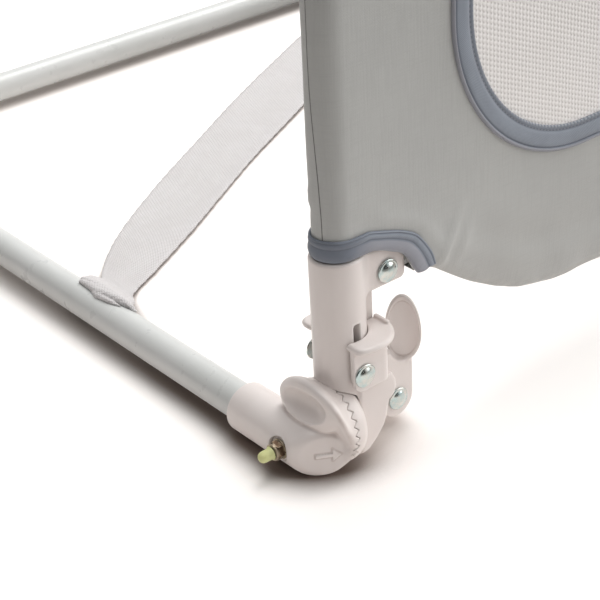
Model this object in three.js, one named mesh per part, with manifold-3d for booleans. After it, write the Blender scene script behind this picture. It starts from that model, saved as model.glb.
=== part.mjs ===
// Folding bed guard rail: a fabric-covered tube panel on two lower corner
// hinges, with a U-shaped tube base that slides under the mattress.
//
// Frame: millimetres, +Z up, floor at z = 0. X runs along the rail, X = 0 at
// mid length. +Y points to the bed, -Y to the room. The panel stands upright
// and the base lies flat. The rail is drawn with the hinge axis of both corners
// at y = 0 and then moved so that the origin is the middle of its footprint.
//
// The two ends are mirror twins. An end is drawn in a local frame whose u axis
// starts at its base arm and points to the middle of the rail.

import * as THREE from 'three';
import * as BufferGeometryUtils from 'three/addons/utils/BufferGeometryUtils.js';
import Module from 'manifold-3d';

const wasm = await Module();
wasm.setup();

// ---------------------------------------------------------------- dimensions
const ARM_SPACING = 1174;         // between the two base arm axes
const TUBE_R = 9.5;               // 19 mm steel tube
const TUBE_WALL = 1.2;
const SOCKET_R = 12.9;            // outside of every moulded tube socket
const FIT = 0.3;                  // gap between neighbouring pieces
const ARM_Z = 12.5;               // base tube axis above the floor; the sockets have a flat sole
const BASE_DEPTH = 500;           // hinge axis to rear bar axis
const BASE_BEND_R = 60;
const HINGE_Z = 22;               // hinge axis above the floor
const SEAM_U = 11.6;              // toothed seam of the hinge
const HINGE_R = 22;
const POST_U = 21;                // post axis, inward from the base arm axis
const SOCKET_TOP_Z = 110;
const POST_FOOT_Z = 81;
const TOP_RAIL_Z = 438;           // top rail axis
const TOP_BEND_R = 70;
const LOWER_RAIL_Z = 94.4;
const LOWER_RAIL_R = 6.35;
const WING_END_U = 56.6;
const WING_RIVET_U = 43.7;
const COVER_IN = 9.8;             // inside half thickness of the cover
const COVER_OUT = 10.9;
const WINDOW_OUT_U = 83.3;        // outer edge of the window binding
const WINDOW_IN_U = 96.5;         // inner edge of the window binding
const WINDOW_OUT_Z0 = 116.4;
const WINDOW_IN_Z0 = 129.6;
const WINDOW_IN_Z1 = 378.4;
const WINDOW_OUT_Z1 = 391.5;
const WINDOW_R = 90;              // outer corner radius of the binding
const STRAP_Y0 = 154.5;           // end of the strap on the arm
const STRAP_Y1 = 201;
const STRAP_X0 = -132;            // strap loop on the rear bar (left strap)
const STRAP_X1 = -44;
const STRAP_SCREW = { u: 1.5, y: 178 };
const STRAP_T = 1.4;
const SLEEVE_HALF = 38;
const SLIDER_Z0 = 42;             // bottom of the latch slider
const FLANGE_Z1 = 68.4;
const SLIDER_RIVET_Z = 51;
const LEVER_PIVOT = { u: 55.4, z: 15.2 };
const BOLT_Y = 8.6;               // bolt through socket and base tube
const ARM_FOOT_Y = 4.6;           // end of the base tube in its socket

const FRAME_Y = -243.85;          // hinge axis in the finished frame

const HALF = ARM_SPACING / 2;
const TUBE_BORE = TUBE_R + FIT;

// ------------------------------------------------------------------ materials
const material = (hex, roughness, metalness) =>
  new THREE.MeshStandardMaterial({ color: hex, roughness, metalness });
const paintedSteel = () => material(0xc9cac8, 0.38, 0.25);
const whitePlastic = () => material(0xe6dcd8, 0.36, 0);
const zincRivet = () => material(0xb9c4c6, 0.25, 0.95);
const darkNut = () => material(0x5b4a3c, 0.4, 0.9);
const paleCap = () => material(0xdde0a4, 0.45, 0);
const greyTaffeta = () => material(0xabaca7, 0.6, 0);
const bluePiping = () => material(0x8690a0, 0.7, 0);
const whiteMesh = () => material(0xe8e8e8, 0.85, 0);
const whiteWebbing = () => material(0xdfe0e2, 0.9, 0);

// ------------------------------------------------------------- solid helpers
function toManifold(geometry) {
  let g = geometry.index ? geometry.toNonIndexed() : geometry.clone();
  g.deleteAttribute('normal');
  g.deleteAttribute('uv');
  g = BufferGeometryUtils.mergeVertices(g, 1e-4);
  const mesh = new wasm.Mesh({
    numProp: 3,
    vertProperties: new Float32Array(g.attributes.position.array),
    triVerts: new Uint32Array(g.index.array),
  });
  return new wasm.Manifold(mesh);
}

function toGeometry(solid, mirrored) {
  const m = solid.getMesh();
  const n = m.numProp;
  const count = m.vertProperties.length / n;
  const pos = new Float32Array(count * 3);
  for (let i = 0; i < count; i++) {
    pos[3 * i] = (mirrored ? -1 : 1) * m.vertProperties[n * i];
    pos[3 * i + 1] = m.vertProperties[n * i + 1];
    pos[3 * i + 2] = m.vertProperties[n * i + 2];
  }
  const tri = Uint32Array.from(m.triVerts);
  if (mirrored) for (let i = 0; i < tri.length; i += 3) {
    const t = tri[i]; tri[i] = tri[i + 1]; tri[i + 1] = t;
  }
  const g = new THREE.BufferGeometry();
  g.setAttribute('position', new THREE.BufferAttribute(pos, 3));
  g.setIndex(new THREE.BufferAttribute(tri, 1));
  g.computeVertexNormals();
  return g;
}

const M4 = () => new THREE.Matrix4();
const place = (geometry, matrix) => { geometry.applyMatrix4(matrix); return geometry; };

function box(x0, x1, y0, y1, z0, z1) {
  const g = new THREE.BoxGeometry(x1 - x0, y1 - y0, z1 - z0);
  return toManifold(place(g, M4().makeTranslation((x0 + x1) / 2, (y0 + y1) / 2, (z0 + z1) / 2)));
}

// body of revolution: profile is a closed list of [along, radius] that starts
// and ends on the axis; axis is 'x', 'y' or 'z' through (a, b, c)
function lathe(axis, a, b, c, profile, segments = 32) {
  const pts = profile.map(([h, r]) => new THREE.Vector2(r, h));
  const g = new THREE.LatheGeometry(pts, segments);   // about +Y
  if (axis === 'x') place(g, M4().makeRotationZ(-Math.PI / 2));
  if (axis === 'z') place(g, M4().makeRotationX(Math.PI / 2));
  place(g, M4().makeTranslation(a, b, c));
  let s = toManifold(g);
  if (s.volume() < 0) throw new Error('lathe turned inside out');
  return s;
}
const rod = (axis, h0, h1, r, a, b, c, segments = 32) =>
  lathe(axis, a, b, c, [[h0, 0], [h0, r], [h1, r], [h1, 0]], segments);
const rodX = (x0, x1, r, y, z, seg) => rod('x', x0, x1, r, 0, y, z, seg);
const rodY = (y0, y1, r, x, z, seg) => rod('y', y0, y1, r, x, 0, z, seg);
const rodZ = (z0, z1, r, x, y, seg) => rod('z', z0, z1, r, x, y, 0, seg);

// flat shape in (u, v) extruded: plane 'xz' runs along y, plane 'xy' along z,
// plane 'yz' along x
function prism(points, plane, h0, h1, holes = []) {
  const shape = new THREE.Shape(points.map(([x, y]) => new THREE.Vector2(x, y)));
  for (const hole of holes)
    shape.holes.push(new THREE.Path(hole.map(([x, y]) => new THREE.Vector2(x, y))));
  const g = new THREE.ExtrudeGeometry(shape, { depth: h1 - h0, bevelEnabled: false, steps: 1 });
  if (plane === 'xy') place(g, M4().makeTranslation(0, 0, h0));
  if (plane === 'xz') {          // (x, y, depth) -> (x, -depth, y)
    place(g, M4().makeRotationX(Math.PI / 2));
    place(g, M4().makeTranslation(0, h1, 0));
  }
  if (plane === 'yz') {          // (x, y, depth) -> (depth, x, y)
    place(g, M4().makeBasis(new THREE.Vector3(0, 1, 0), new THREE.Vector3(0, 0, 1), new THREE.Vector3(1, 0, 0)));
    place(g, M4().makeTranslation(h0, 0, 0));
  }
  return toManifold(g);
}

function roundedRect(x0, x1, y0, y1, r, n = 6) {
  const pts = [];
  const rr = typeof r === 'number' ? [r, r, r, r] : r;      // ll, lr, ur, ul
  const corners = [[x0, y0, rr[0], Math.PI], [x1, y0, rr[1], 1.5 * Math.PI], [x1, y1, rr[2], 0], [x0, y1, rr[3], 0.5 * Math.PI]];
  const sx = [1, -1, -1, 1], sy = [1, 1, -1, -1];
  corners.forEach(([cx, cy, cr, a0], k) => {
    if (cr <= 0) { pts.push([cx, cy]); return; }
    for (let i = 0; i <= n; i++) {
      const a = a0 + (i / n) * Math.PI / 2;
      pts.push([cx + sx[k] * cr + cr * Math.cos(a), cy + sy[k] * cr + cr * Math.sin(a)]);
    }
  });
  return pts;
}

function scaledSphere(cx, cy, cz, rx, ry, rz, rot = null, w = 24, h = 16) {
  const g = new THREE.SphereGeometry(1, w, h);
  place(g, M4().makeScale(rx, ry, rz));
  if (rot) place(g, rot);
  place(g, M4().makeTranslation(cx, cy, cz));
  return toManifold(g);
}

// tube or rod swept along straight runs with round bends; path is a list of
// [x, y, z], bend is the radius at each inner corner
function bentPath(points, bend, steps) {
  const v = points.map((p) => new THREE.Vector3(...p));
  const out = [v[0]];
  for (let i = 1; i < v.length - 1; i++) {
    const a = v[i - 1].clone().sub(v[i]).normalize();
    const b = v[i + 1].clone().sub(v[i]).normalize();
    const p0 = v[i].clone().addScaledVector(a, bend);
    const centre = p0.clone().addScaledVector(b, bend);
    for (let k = 0; k <= steps; k++) {
      const t = (k / steps) * Math.PI / 2;
      out.push(centre.clone().addScaledVector(b, -bend * Math.cos(t)).addScaledVector(a, -bend * Math.sin(t)));
    }
  }
  out.push(v[v.length - 1]);
  return out;
}
class PolyPath extends THREE.Curve {
  constructor(points) { super(); this.p = points; }
  getPoint(t, target = new THREE.Vector3()) {
    const n = this.p.length - 1;
    const f = Math.min(Math.max(t, 0), 1) * n;
    const i = Math.min(Math.floor(f), n - 1);
    return target.copy(this.p[i]).lerp(this.p[i + 1], f - i);
  }
  getPointAt(t, target) { return this.getPoint(t, target); }
  getTangentAt(t, target = new THREE.Vector3()) {
    const n = this.p.length - 1;
    const k = Math.round(t * n);
    const a = this.p[Math.max(k - 1, 0)], b = this.p[Math.min(k + 1, n)];
    return target.copy(b).sub(a).normalize();
  }
  getTangent(t, target) { return this.getTangentAt(t, target); }
}
function swept(points, rOut, rIn, radial) {
  const ring = (r) => Array.from({ length: radial }, (_, i) =>
    new THREE.Vector2(r * Math.cos((2 * Math.PI * i) / radial), r * Math.sin((2 * Math.PI * i) / radial)));
  const shape = new THREE.Shape(ring(rOut));
  if (rIn > 0) shape.holes.push(new THREE.Path(ring(rIn).reverse()));
  const g = new THREE.ExtrudeGeometry(shape, { steps: points.length - 1, bevelEnabled: false, extrudePath: new PolyPath(points) });
  const s = toManifold(g);
  return s.volume() < 0 ? toManifold(g.scale(-1, 1, 1)) : s;
}

// domed rivet head on an axis, face at h, dome toward dir (+1 or -1)
function domeProfile(h, dir, r, height, n = 3) {
  const out = [];
  for (let i = 0; i <= n; i++) {
    const a = (i / n) * Math.PI / 2;
    out.push([h + dir * (0.6 + (height - 0.6) * Math.sin(a)), r * Math.cos(a)]);
  }
  return out;
}
function rivet(axis, a, b, c, h0, h1, shank, head, height, seg = 14) {
  const low = domeProfile(h0, -1, head, height);
  const high = domeProfile(h1, 1, head, height);
  low[low.length - 1][1] = 0; high[high.length - 1][1] = 0;
  const profile = [...low.slice().reverse(), [h0, head], [h0, shank], [h1, shank], [h1, head], ...high];
  return lathe(axis, a, b, c, profile, seg);
}

// -------------------------------------------------------------- one hinge end
// All solids below are in (u, y, z).
const solids = {};

// arm housing: outer half of the round hinge with the socket of the base arm
{
  // disc whose outer face leans outward toward the top, cut flat at the floor
  const lean = place(new THREE.BoxGeometry(60, 120, 160), M4().makeTranslation(30, 0, 0));
  place(lean, M4().makeRotationY(-0.29));
  place(lean, M4().makeTranslation(-0.8, 0, 40));
  const disc = lathe('x', 0, 0, HINGE_Z, [
    [-1.6, 0], [-1.6, 21.6], [0.2, 24.2], [2.6, 25.2], [4.6, 25.2], [6.4, 24.2], [7.8, 22.4], [SEAM_U, 21.8], [SEAM_U, 0]], 32)
    .intersect(toManifold(lean)).intersect(box(-30, 60, -60, 60, 0, 90));
  // raised lip round the thumb dimple
  const tilt = M4().makeRotationX(-0.10);
  const pad = scaledSphere(4.6, 3.4, 33.6, 8.8, 20.6, 13.4, tilt, 22, 12)
    .intersect(lathe('x', 0, 0, HINGE_Z, [[-12, 0], [-12, 26], [4.6, 25.2], [7.8, 22.3], [SEAM_U - 1.2, 22.0], [SEAM_U - 1.2, 0]], 32));
  const barrel = lathe('y', 0, 0, ARM_Z, [
    [-18, 0], [-18, SOCKET_R], [47.9, SOCKET_R], [48.5, SOCKET_R - 0.6], [48.5, 0]], 28);
  // the barrel ends in a slanted face that looks to the front and outward
  const slant = 0.54, faceY = -9.5;
  const cutter = place(new THREE.BoxGeometry(80, 40, 80), M4().makeTranslation(0, -20, 0));
  place(cutter, M4().makeRotationZ(-slant));
  place(cutter, M4().makeTranslation(0, faceY, ARM_Z));
  let body = barrel.subtract(toManifold(cutter))
    .subtract(rodX(SEAM_U, 60, HINGE_R + 0.4, 0, HINGE_Z, 32)).intersect(box(-30, 60, -60, 60, 0, 90));
  // its front corner stays inside the circle that the corner bracket sweeps
  body = body.subtract(box(10.0, 30, -30, 0, 0, 30).subtract(rodX(0, 60, HINGE_R - 0.1, 0, HINGE_Z, 32)));
  body = body.add(disc).add(pad);
  // thumb dimple on the outer face
  body = body.subtract(scaledSphere(-7.0, 3.2, 36.4, 8.6, 17.4, 9.4, tilt, 22, 12));
  // bores for the arm tube, the bolt through it and the pivot bolt
  body = body.subtract(rodY(ARM_FOOT_Y - FIT, 60, TUBE_BORE, 0, ARM_Z, 20));
  body = body.subtract(rodX(-20, 20, 2.9, BOLT_Y, ARM_Z, 12));
  body = body.subtract(rodX(-16, -10.6, 6.4, BOLT_Y, ARM_Z, 16));
  body = body.subtract(rodX(9.6, 20, 4.8, BOLT_Y, ARM_Z, 16));
  body = body.subtract(rodX(0.4, 20, 3.3, 0, HINGE_Z, 12));
  // raised direction arrow on the slanted face
  const arrow = [[-6.2, -1.0], [2.2, -1.0], [2.2, -3.4], [6.4, 0], [2.2, 3.4], [2.2, 1.0], [-6.2, 1.0]];
  const shape = new THREE.Shape(arrow.map(([x, y]) => new THREE.Vector2(x, y)));
  const g = new THREE.ExtrudeGeometry(shape, { depth: 1.3, bevelEnabled: false });
  place(g, M4().makeRotationX(Math.PI / 2));            // lies in x-z, points to -y
  place(g, M4().makeTranslation(2.2, 0.5, 0));
  place(g, M4().makeRotationZ(-slant));
  place(g, M4().makeTranslation(0, faceY, ARM_Z));
  body = body.add(toManifold(g));
  solids.arm_housing = { solid: body, mat: whitePlastic };
}

// toothed coupling ring with the hub that the panel turns on
{
  solids.hinge_ring = {
    solid: lathe('x', 0, 0, HINGE_Z, [
      [SEAM_U + FIT, 0], [SEAM_U + FIT, 21.7], [14.6, 21.6], [17.4, 20.9], [19.4, 19.6], [20.2, 18.4],
      [20.2, 11.0], [29.4, 11.0], [29.4, 0]], 32).subtract(rodX(0, 40, 3.3, 0, HINGE_Z, 12)),
    mat: whitePlastic,
  };
}

// corner bracket: post socket, wing for the lower rail and hinge block
{
  const post = lathe('z', POST_U, 0, 0, [
    [22, 0], [22, SOCKET_R], [SOCKET_TOP_Z - 2.0, SOCKET_R], [SOCKET_TOP_Z - 0.5, SOCKET_R - 0.6],
    [SOCKET_TOP_Z, SOCKET_R - 2.0], [SOCKET_TOP_Z, 0]], 28);
  const wingOutline = roundedRect(26, WING_END_U, LOWER_RAIL_Z - 7.6, LOWER_RAIL_Z + 13.4, [0, 1.5, 11, 0], 4);
  const wing = prism(wingOutline, 'xz', -9, 9).intersect(
    prism(roundedRect(10, WING_END_U, -9, 9, [0, 4, 4, 0], 3), 'xy', 80, 120));
  const fin = box(30, 40.6, -1.7, 1.7, 66.2, 90);
  const blockOutline = [
    [20.5, 3.0], [23.4, 3.4], [31.0, 9.6], [35.8, 15.2], [37.6, 20.0], [38.6, 24.6], [39.4, 27.4], [43.4, 30.6],
    [44.2, 33.6], [43.4, 37.6], [41.6, 41.7], [20.5, 41.7]];
  const block = prism(blockOutline, 'xz', -14, 14).intersect(
    rodX(0, 60, HINGE_R - 0.4, 0, HINGE_Z, 28).add(box(0, 60, -14, 14, HINGE_Z, 50)));
  const ear = prism(roundedRect(34, 65, 3.4, 29.5, [6, 10, 8, 0], 4), 'xz', 2.9, 9.5);
  let body = post.add(wing).add(fin).add(block).add(ear);
  // cut round by the coupling ring and the hub
  body = body.subtract(lathe('x', 0, 0, HINGE_Z, [
    [-30, 0], [-30, 25.6], [10.4, 25.6], [10.4, HINGE_R + 0.4], [15.0, HINGE_R + 0.3], [17.8, 21.6], [19.9, 20.1], [20.5, 18.8], [20.5, 0]], 32));
  body = body.subtract(rodX(5, 29.7, 11.3, 0, HINGE_Z, 24));
  body = body.subtract(rodX(5, 60, 3.3, 0, HINGE_Z, 12));
  body = body.subtract(rodX(33.4, 44, 6.8, 0, HINGE_Z, 16));
  // post bore, rivet slot and lock plunger chamber
  body = body.subtract(rodZ(POST_FOOT_Z - 0.4, 130, TUBE_BORE, POST_U, 0, 20));
  body = body.subtract(prism(roundedRect(POST_U - 1.9, POST_U + 1.9, SLIDER_RIVET_Z - 2.0, 76.4, 0.6, 1), 'xz', -30, 30));
  body = body.subtract(box(POST_U - 2.8, 27.9, -2.4, 2.4, 43.2, 65.8));
  body = body.subtract(box(22.1, 27.9, -2.4, 2.4, 28, 50));
  body = body.subtract(rodX(39.8, 90, LOWER_RAIL_R + FIT, 0, LOWER_RAIL_Z, 16));
  body = body.subtract(rodY(-20, 20, 2.6, WING_RIVET_U, LOWER_RAIL_Z, 12));
  body = body.subtract(rodY(-4, 20, 2.6, LEVER_PIVOT.u, LEVER_PIVOT.z, 12));
  solids.corner_bracket = { solid: body, mat: whitePlastic };
}

// latch slider: collar open to the outer end, with a finger flange on top
{
  const outer = prism(roundedRect(14.8, 38.2, -17, 17, [0.8, 5, 5, 0.8], 4), 'xy', SLIDER_Z0, FLANGE_Z1 - 1);
  const flangeFront = [[18.1, -12], [18.8, -19.5], [22.2, -22.6], [33.4, -22.4], [39.2, -18.6], [43.1, -12.4], [43.6, -6.5], [43.6, 0]];
  const flangeRear = [[43.6, 6.5], [43.1, 12.4], [39.2, 18.6], [33.4, 22.0], [18.8, 22.0], [15.2, 20.6], [13.2, 16.6], [13.4, 12]];
  const flange = prism([...flangeFront, ...flangeRear], 'xy', FLANGE_Z1 - 3, FLANGE_Z1);
  const rim = prism(roundedRect(40.0, 42.0, -12, 12, 0.9, 3), 'xy', FLANGE_Z1 - 1, FLANGE_Z1 + 1.2);
  let body = outer.add(flange).add(rim);
  body = body.subtract(rodZ(0, 120, SOCKET_R + 0.5, POST_U, 0, 28));
  body = body.subtract(prism([[-5, -14.4], [34.8, -14.4], [34.8, 14.4], [-5, 14.4]], 'xy', 0, FLANGE_Z1 - 3));
  body = body.subtract(prism(roundedRect(-6, 15.8, -11.4, 11.4, 0, 1), 'xy', 0, 120));
  body = body.subtract(box(5, 18.4, 8, 30, 0, FLANGE_Z1 - 3));
  // slit for the fin of the bracket
  body = body.subtract(box(30, 60, -2.3, 2.3, 47.6, 100));
  // lower front corner at the outer end is rounded
  const corner = prism([[8, 36], [20.3, 36], [20.3, 42.001], [17.8, 42.8], [15.7, 44.9], [14.8, 48.5], [8, 48.5]], 'xz', -30, 30);
  body = body.subtract(corner);
  body = body.subtract(rodY(-40, 40, 2.0, POST_U, SLIDER_RIVET_Z, 12));
  solids.latch_slider = { solid: body, mat: whitePlastic };
}
solids.slider_rivet = { solid: rivet('y', POST_U, 0, SLIDER_RIVET_Z, -17.2, 17.2, 1.6, 5.9, 2.4), mat: zincRivet };
// cranked plunger under the slider rivet, stands over the hub
solids.lock_plunger = {
  solid: prism([[POST_U - 2.4, 43.6], [22.5, 43.6], [22.5, 33.5], [27.5, 33.5], [27.5, 49.0], [POST_U - 2.4, 49.0]], 'xz', -2, 2),
  mat: zincRivet,
};
solids.wing_rivet = { solid: rivet('y', WING_RIVET_U, 0, LOWER_RAIL_Z, -9.2, 9.2, 2.2, 5.9, 2.4), mat: zincRivet };

// release lever: plate on a pivot rivet with a concave thumb paddle
{
  const p = LEVER_PIVOT;
  const plateOutline = [];
  for (let i = 0; i <= 10; i++) {
    const a = Math.PI + (i / 10) * Math.PI;
    plateOutline.push([p.u + 10.6 * Math.cos(a), p.z + 10.6 * Math.sin(a)]);
  }
  plateOutline.push([66.0, 39.5], [65.4, 43.0], [44.8, 43.0]);
  const plate = prism(plateOutline, 'xz', -1.2, 2.6);
  // paddle: an upright oval cut from a quarter round sheet, hollow side to the
  // front and the outer end
  const c = { u: 53.2, y: -8.0, r: 11.6, t: 2.4 };
  const turn = 0.68;
  const ovalPrism = (k, lo, hi) => {
    const pts = [];
    for (let i = 0; i < 22; i++) {
      const a = (2 * Math.PI * i) / 22;
      pts.push([8.8 * k * Math.cos(a), 51.6 + 18.2 * k * Math.sin(a)]);
    }
    const shape = new THREE.Shape(pts.map(([x, z]) => new THREE.Vector2(x, z)));
    const g = new THREE.ExtrudeGeometry(shape, { depth: hi - lo, bevelEnabled: false });
    place(g, M4().makeRotationX(Math.PI / 2));
    place(g, M4().makeTranslation(0, hi, 0));
    place(g, M4().makeRotationZ(-turn));
    place(g, M4().makeTranslation(59.4, -1.6, 0));
    return toManifold(g);
  };
  const sheet = rodZ(20, 90, c.r + c.t, c.u, c.y, 32).subtract(rodZ(10, 100, c.r, c.u, c.y, 32));
  const paddle = ovalPrism(1, -30, 30).intersect(sheet).intersect(box(50.4, 90, -12, 20, 0, 120));
  let body = plate.subtract(ovalPrism(0.9, -30, 30).intersect(rodZ(10, 100, c.r, c.u, c.y, 32))).add(paddle);
  body = body.subtract(rodY(-40, 40, 2.6, p.u, p.z, 12));
  solids.release_lever = { solid: body, mat: whitePlastic };
}
solids.lever_rivet = {
  solid: rivet('y', LEVER_PIVOT.u, 0, LEVER_PIVOT.z, -1.5, 9.8, 2.2, 5.9, 2.4), mat: zincRivet,
};

// fasteners of the hinge and the base arm
{
  solids.arm_bolt = {
    solid: lathe('x', 0, BOLT_Y, ARM_Z, [
      [-20.0, 0], [-20.0, 2.4], [9.9, 2.4], [9.9, 4.4], [11.3, 4.2], [11.3, 0]], 16),
    mat: darkNut,
  };
  solids.arm_nut = {
    solid: rod('x', -16.4, -11.0, 5.3, 0, BOLT_Y, ARM_Z, 6).subtract(rodX(-20, -5, 2.7, BOLT_Y, ARM_Z, 16)), mat: darkNut,
  };
  solids.bolt_cap = {
    solid: lathe('x', 0, BOLT_Y, ARM_Z, [
      [-24.4, 0], [-24.1, 2.2], [-23.1, 3.6], [-21.6, 4.1], [-16.8, 4.1], [-16.8, 2.7], [-20.4, 2.7], [-20.4, 0]], 20),
    mat: paleCap,
  };
  solids.pivot_bolt = {
    solid: lathe('x', 0, 0, HINGE_Z, [
      [0.8, 0], [0.8, 3.0], [33.7, 3.0], [33.7, 6.3], [35.6, 5.8], [36.6, 3.6], [36.6, 0]], 20),
    mat: darkNut,
  };
}

// tubes of one end
{
  const arm = bentPath([[0, ARM_FOOT_Y, ARM_Z], [0, BASE_DEPTH, ARM_Z], [HALF - 0.5, BASE_DEPTH, ARM_Z]], BASE_BEND_R, 6);
  solids.base_tube = {
    solid: swept(arm, TUBE_R, TUBE_R - TUBE_WALL, 16)
      .subtract(rodX(-20, 20, 2.8, BOLT_Y, ARM_Z, 12))
      .subtract(rodZ(13, 40, 1.7, STRAP_SCREW.u, STRAP_SCREW.y, 12))
      .subtract(rodZ(10, 30, 2.4, HALF - 22, BASE_DEPTH, 12)),
    mat: paintedSteel,
  };
  const post = bentPath([[POST_U, 0, POST_FOOT_Z], [POST_U, 0, TOP_RAIL_Z], [POST_U + 190, 0, TOP_RAIL_Z]], TOP_BEND_R, 6);
  solids.corner_tube = { solid: swept(post, TUBE_R, TUBE_R - TUBE_WALL, 16), mat: paintedSteel };
  solids.top_rail_joiner = {
    solid: rodX(POST_U + 150, POST_U + 230, TUBE_R - TUBE_WALL - FIT, 0, TOP_RAIL_Z, 16)
      .subtract(rodX(POST_U + 140, POST_U + 240, TUBE_R - 2 * TUBE_WALL - FIT, 0, TOP_RAIL_Z, 16)),
    mat: paintedSteel,
  };
}

// strap from the arm to the rear bar: its end lies over the arm, it slopes down on
// the inner side, runs flat and ends in a sewn loop on the rear bar
{
  const r0 = TUBE_R + FIT, r1 = r0 + STRAP_T;
  const yr = BASE_DEPTH, low = ARM_Z - r1;
  const x0 = HALF + STRAP_X0, x1 = HALF + STRAP_X1;
  const arc = (r, i) => {
    const a = ((108 - 70 * (i / 7)) * Math.PI) / 180;
    return [r * Math.cos(a), ARM_Z + r * Math.sin(a)];
  };
  const side = [];
  for (let i = 0; i <= 7; i++) side.push(arc(r1, i));
  side.push([36.0, low + STRAP_T], [640, low + STRAP_T], [640, low], [35.2, low]);
  for (let i = 7; i >= 0; i--) side.push(arc(r0, i));
  const plan = [
    [-12, STRAP_Y0], [5, STRAP_Y0], [14, 165], [23.3, 180], [32.7, 195], [103, 235], [188.7, 287], [268.9, 330.5],
    [x1, yr - 8], [x1, yr], [x0, yr], [x0, yr - 8], [354.7, 433.3], [269.9, 389.9], [176.5, 334.1], [92.9, 281.6],
    [62.6, 258.3], [45, 241.6], [33, 227.5], [23.7, 212], [14.3, 203], [5, STRAP_Y1], [-12, STRAP_Y1]];
  const loop = rodX(x0, x1, r1, yr, ARM_Z, 16);
  solids.brace_strap = {
    solid: prism(side.slice().reverse(), 'xz', 100, 560).intersect(prism(plan, 'xy', -5, 40)).add(loop)
      .subtract(rodX(x0 - 5, x1 + 5, r0, yr, ARM_Z, 16))
      .subtract(rodZ(10, 40, 1.8, STRAP_SCREW.u, STRAP_SCREW.y, 12)),
    mat: whiteWebbing,
  };
  // screw that holds the end of the strap on the arm
  solids.strap_screw = {
    solid: lathe('z', STRAP_SCREW.u, STRAP_SCREW.y, 0, [
      [15.5, 0], [15.5, 1.4], [24.0, 1.4], [24.0, 3.0], [24.6, 2.7], [25.0, 1.6], [25.1, 0]], 14),
    mat: zincRivet,
  };
  solids.sleeve_screw = {
    solid: lathe('z', HALF - 22, BASE_DEPTH, 0, [
      [ARM_Z + 6.9, 0], [ARM_Z + 6.9, 1.9], [ARM_Z + SOCKET_R + 0.2, 1.9], [ARM_Z + SOCKET_R + 0.2, 3.8],
      [ARM_Z + SOCKET_R + 1.6, 3.2], [ARM_Z + SOCKET_R + 2.2, 1.6], [ARM_Z + SOCKET_R + 2.2, 0]], 16),
    mat: zincRivet,
  };
}

// -------------------------------------------------------------- shared pieces
// hem line of the cover from the post to the middle of the rail, in (u, z)
const HEM = [[64, 87.4], [73, 85.0], [89, 75.0], [105, 65.0], [121, 56.0], [136, 49.9], [160, 44.6], [204, 42.6]];
const coverPost = POST_U - HALF;

const group = new THREE.Group();
const rail = new THREE.Group();
rail.position.y = FRAME_Y;
group.add(rail);

function addMesh(name, solid, mat, options = {}) {
  const mesh = new THREE.Mesh(toGeometry(solid, options.mirrored), mat());
  mesh.name = name;
  mesh.position.set(options.x ?? 0, 0, 0);
  rail.add(mesh);
  return mesh;
}

for (const [name, { solid, mat }] of Object.entries(solids)) {
  addMesh(`${name}_left`, solid, mat, { x: -HALF });
  addMesh(`${name}_right`, solid, mat, { x: HALF, mirrored: true });
}

// rear joining sleeve of the base
addMesh('rear_sleeve',
  rodX(-SLEEVE_HALF, SLEEVE_HALF, SOCKET_R, BASE_DEPTH, ARM_Z, 24).intersect(box(-60, 60, BASE_DEPTH - 30, BASE_DEPTH + 30, 0, 60))
    .subtract(rodX(-60, 60, TUBE_BORE, BASE_DEPTH, ARM_Z, 20))
    .subtract(rodZ(ARM_Z + 5, 40, 2.2, -22, BASE_DEPTH, 12))
    .subtract(rodZ(ARM_Z + 5, 40, 2.2, 22, BASE_DEPTH, 12)), whitePlastic);

// top rail between the corner tubes
{
  const x = HALF - POST_U - 190 - 0.5;
  addMesh('top_rail_tube', rodX(-x, x, TUBE_R, 0, TOP_RAIL_Z, 16)
    .subtract(rodX(-x - 5, x + 5, TUBE_R - TUBE_WALL, 0, TOP_RAIL_Z, 16)), paintedSteel);
}
// lower rail, riveted into the wings of both brackets
{
  const x = HALF - 40.2;
  addMesh('lower_rail_tube', rodX(-x, x, LOWER_RAIL_R, 0, LOWER_RAIL_Z, 14)
    .subtract(rodX(-x - 5, x + 5, LOWER_RAIL_R - 1.1, 0, LOWER_RAIL_Z, 14))
    .subtract(rodY(-20, 20, 2.5, -(HALF - WING_RIVET_U), LOWER_RAIL_Z, 12))
    .subtract(rodY(-20, 20, 2.5, HALF - WING_RIVET_U, LOWER_RAIL_Z, 12)), paintedSteel);
}

// fabric cover: one sewn bag over posts and rails, open along the bottom
function coverBody(r, grow) {
  const foot = 20;
  const path = bentPath([[coverPost, 0, foot], [coverPost, 0, TOP_RAIL_Z], [-coverPost, 0, TOP_RAIL_Z], [-coverPost, 0, foot]], TOP_BEND_R, 6);
  const frame = swept(path, r, 0, 16);
  const outline = roundedRect(coverPost, -coverPost, foot, TOP_RAIL_Z, [0, 0, TOP_BEND_R, TOP_BEND_R], 6);
  const slab = prism(outline, 'xz', -r, r);
  return frame.add(slab);
}
const hemOutline = [];
{
  const left = [[-60, 110.6], [34, 110.6], [43, 109.4], [47, 107.8], [50.8, 104.2], [54, 98.8], [56.6, 93.2], [58.2, 88.8], ...HEM];
  for (const [u, z] of left) hemOutline.push([u - HALF, z]);
  for (const [u, z] of left.slice().reverse()) hemOutline.push([HALF - u, z]);
  hemOutline.push([HALF + 60, -20], [-HALF - 60, -20]);
}
const windowOutline = (inset, n = 6) => roundedRect(
  -HALF + WINDOW_OUT_U + inset, HALF - WINDOW_OUT_U - inset,
  WINDOW_OUT_Z0 + inset, WINDOW_OUT_Z1 - inset, WINDOW_R - inset, n);
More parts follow.
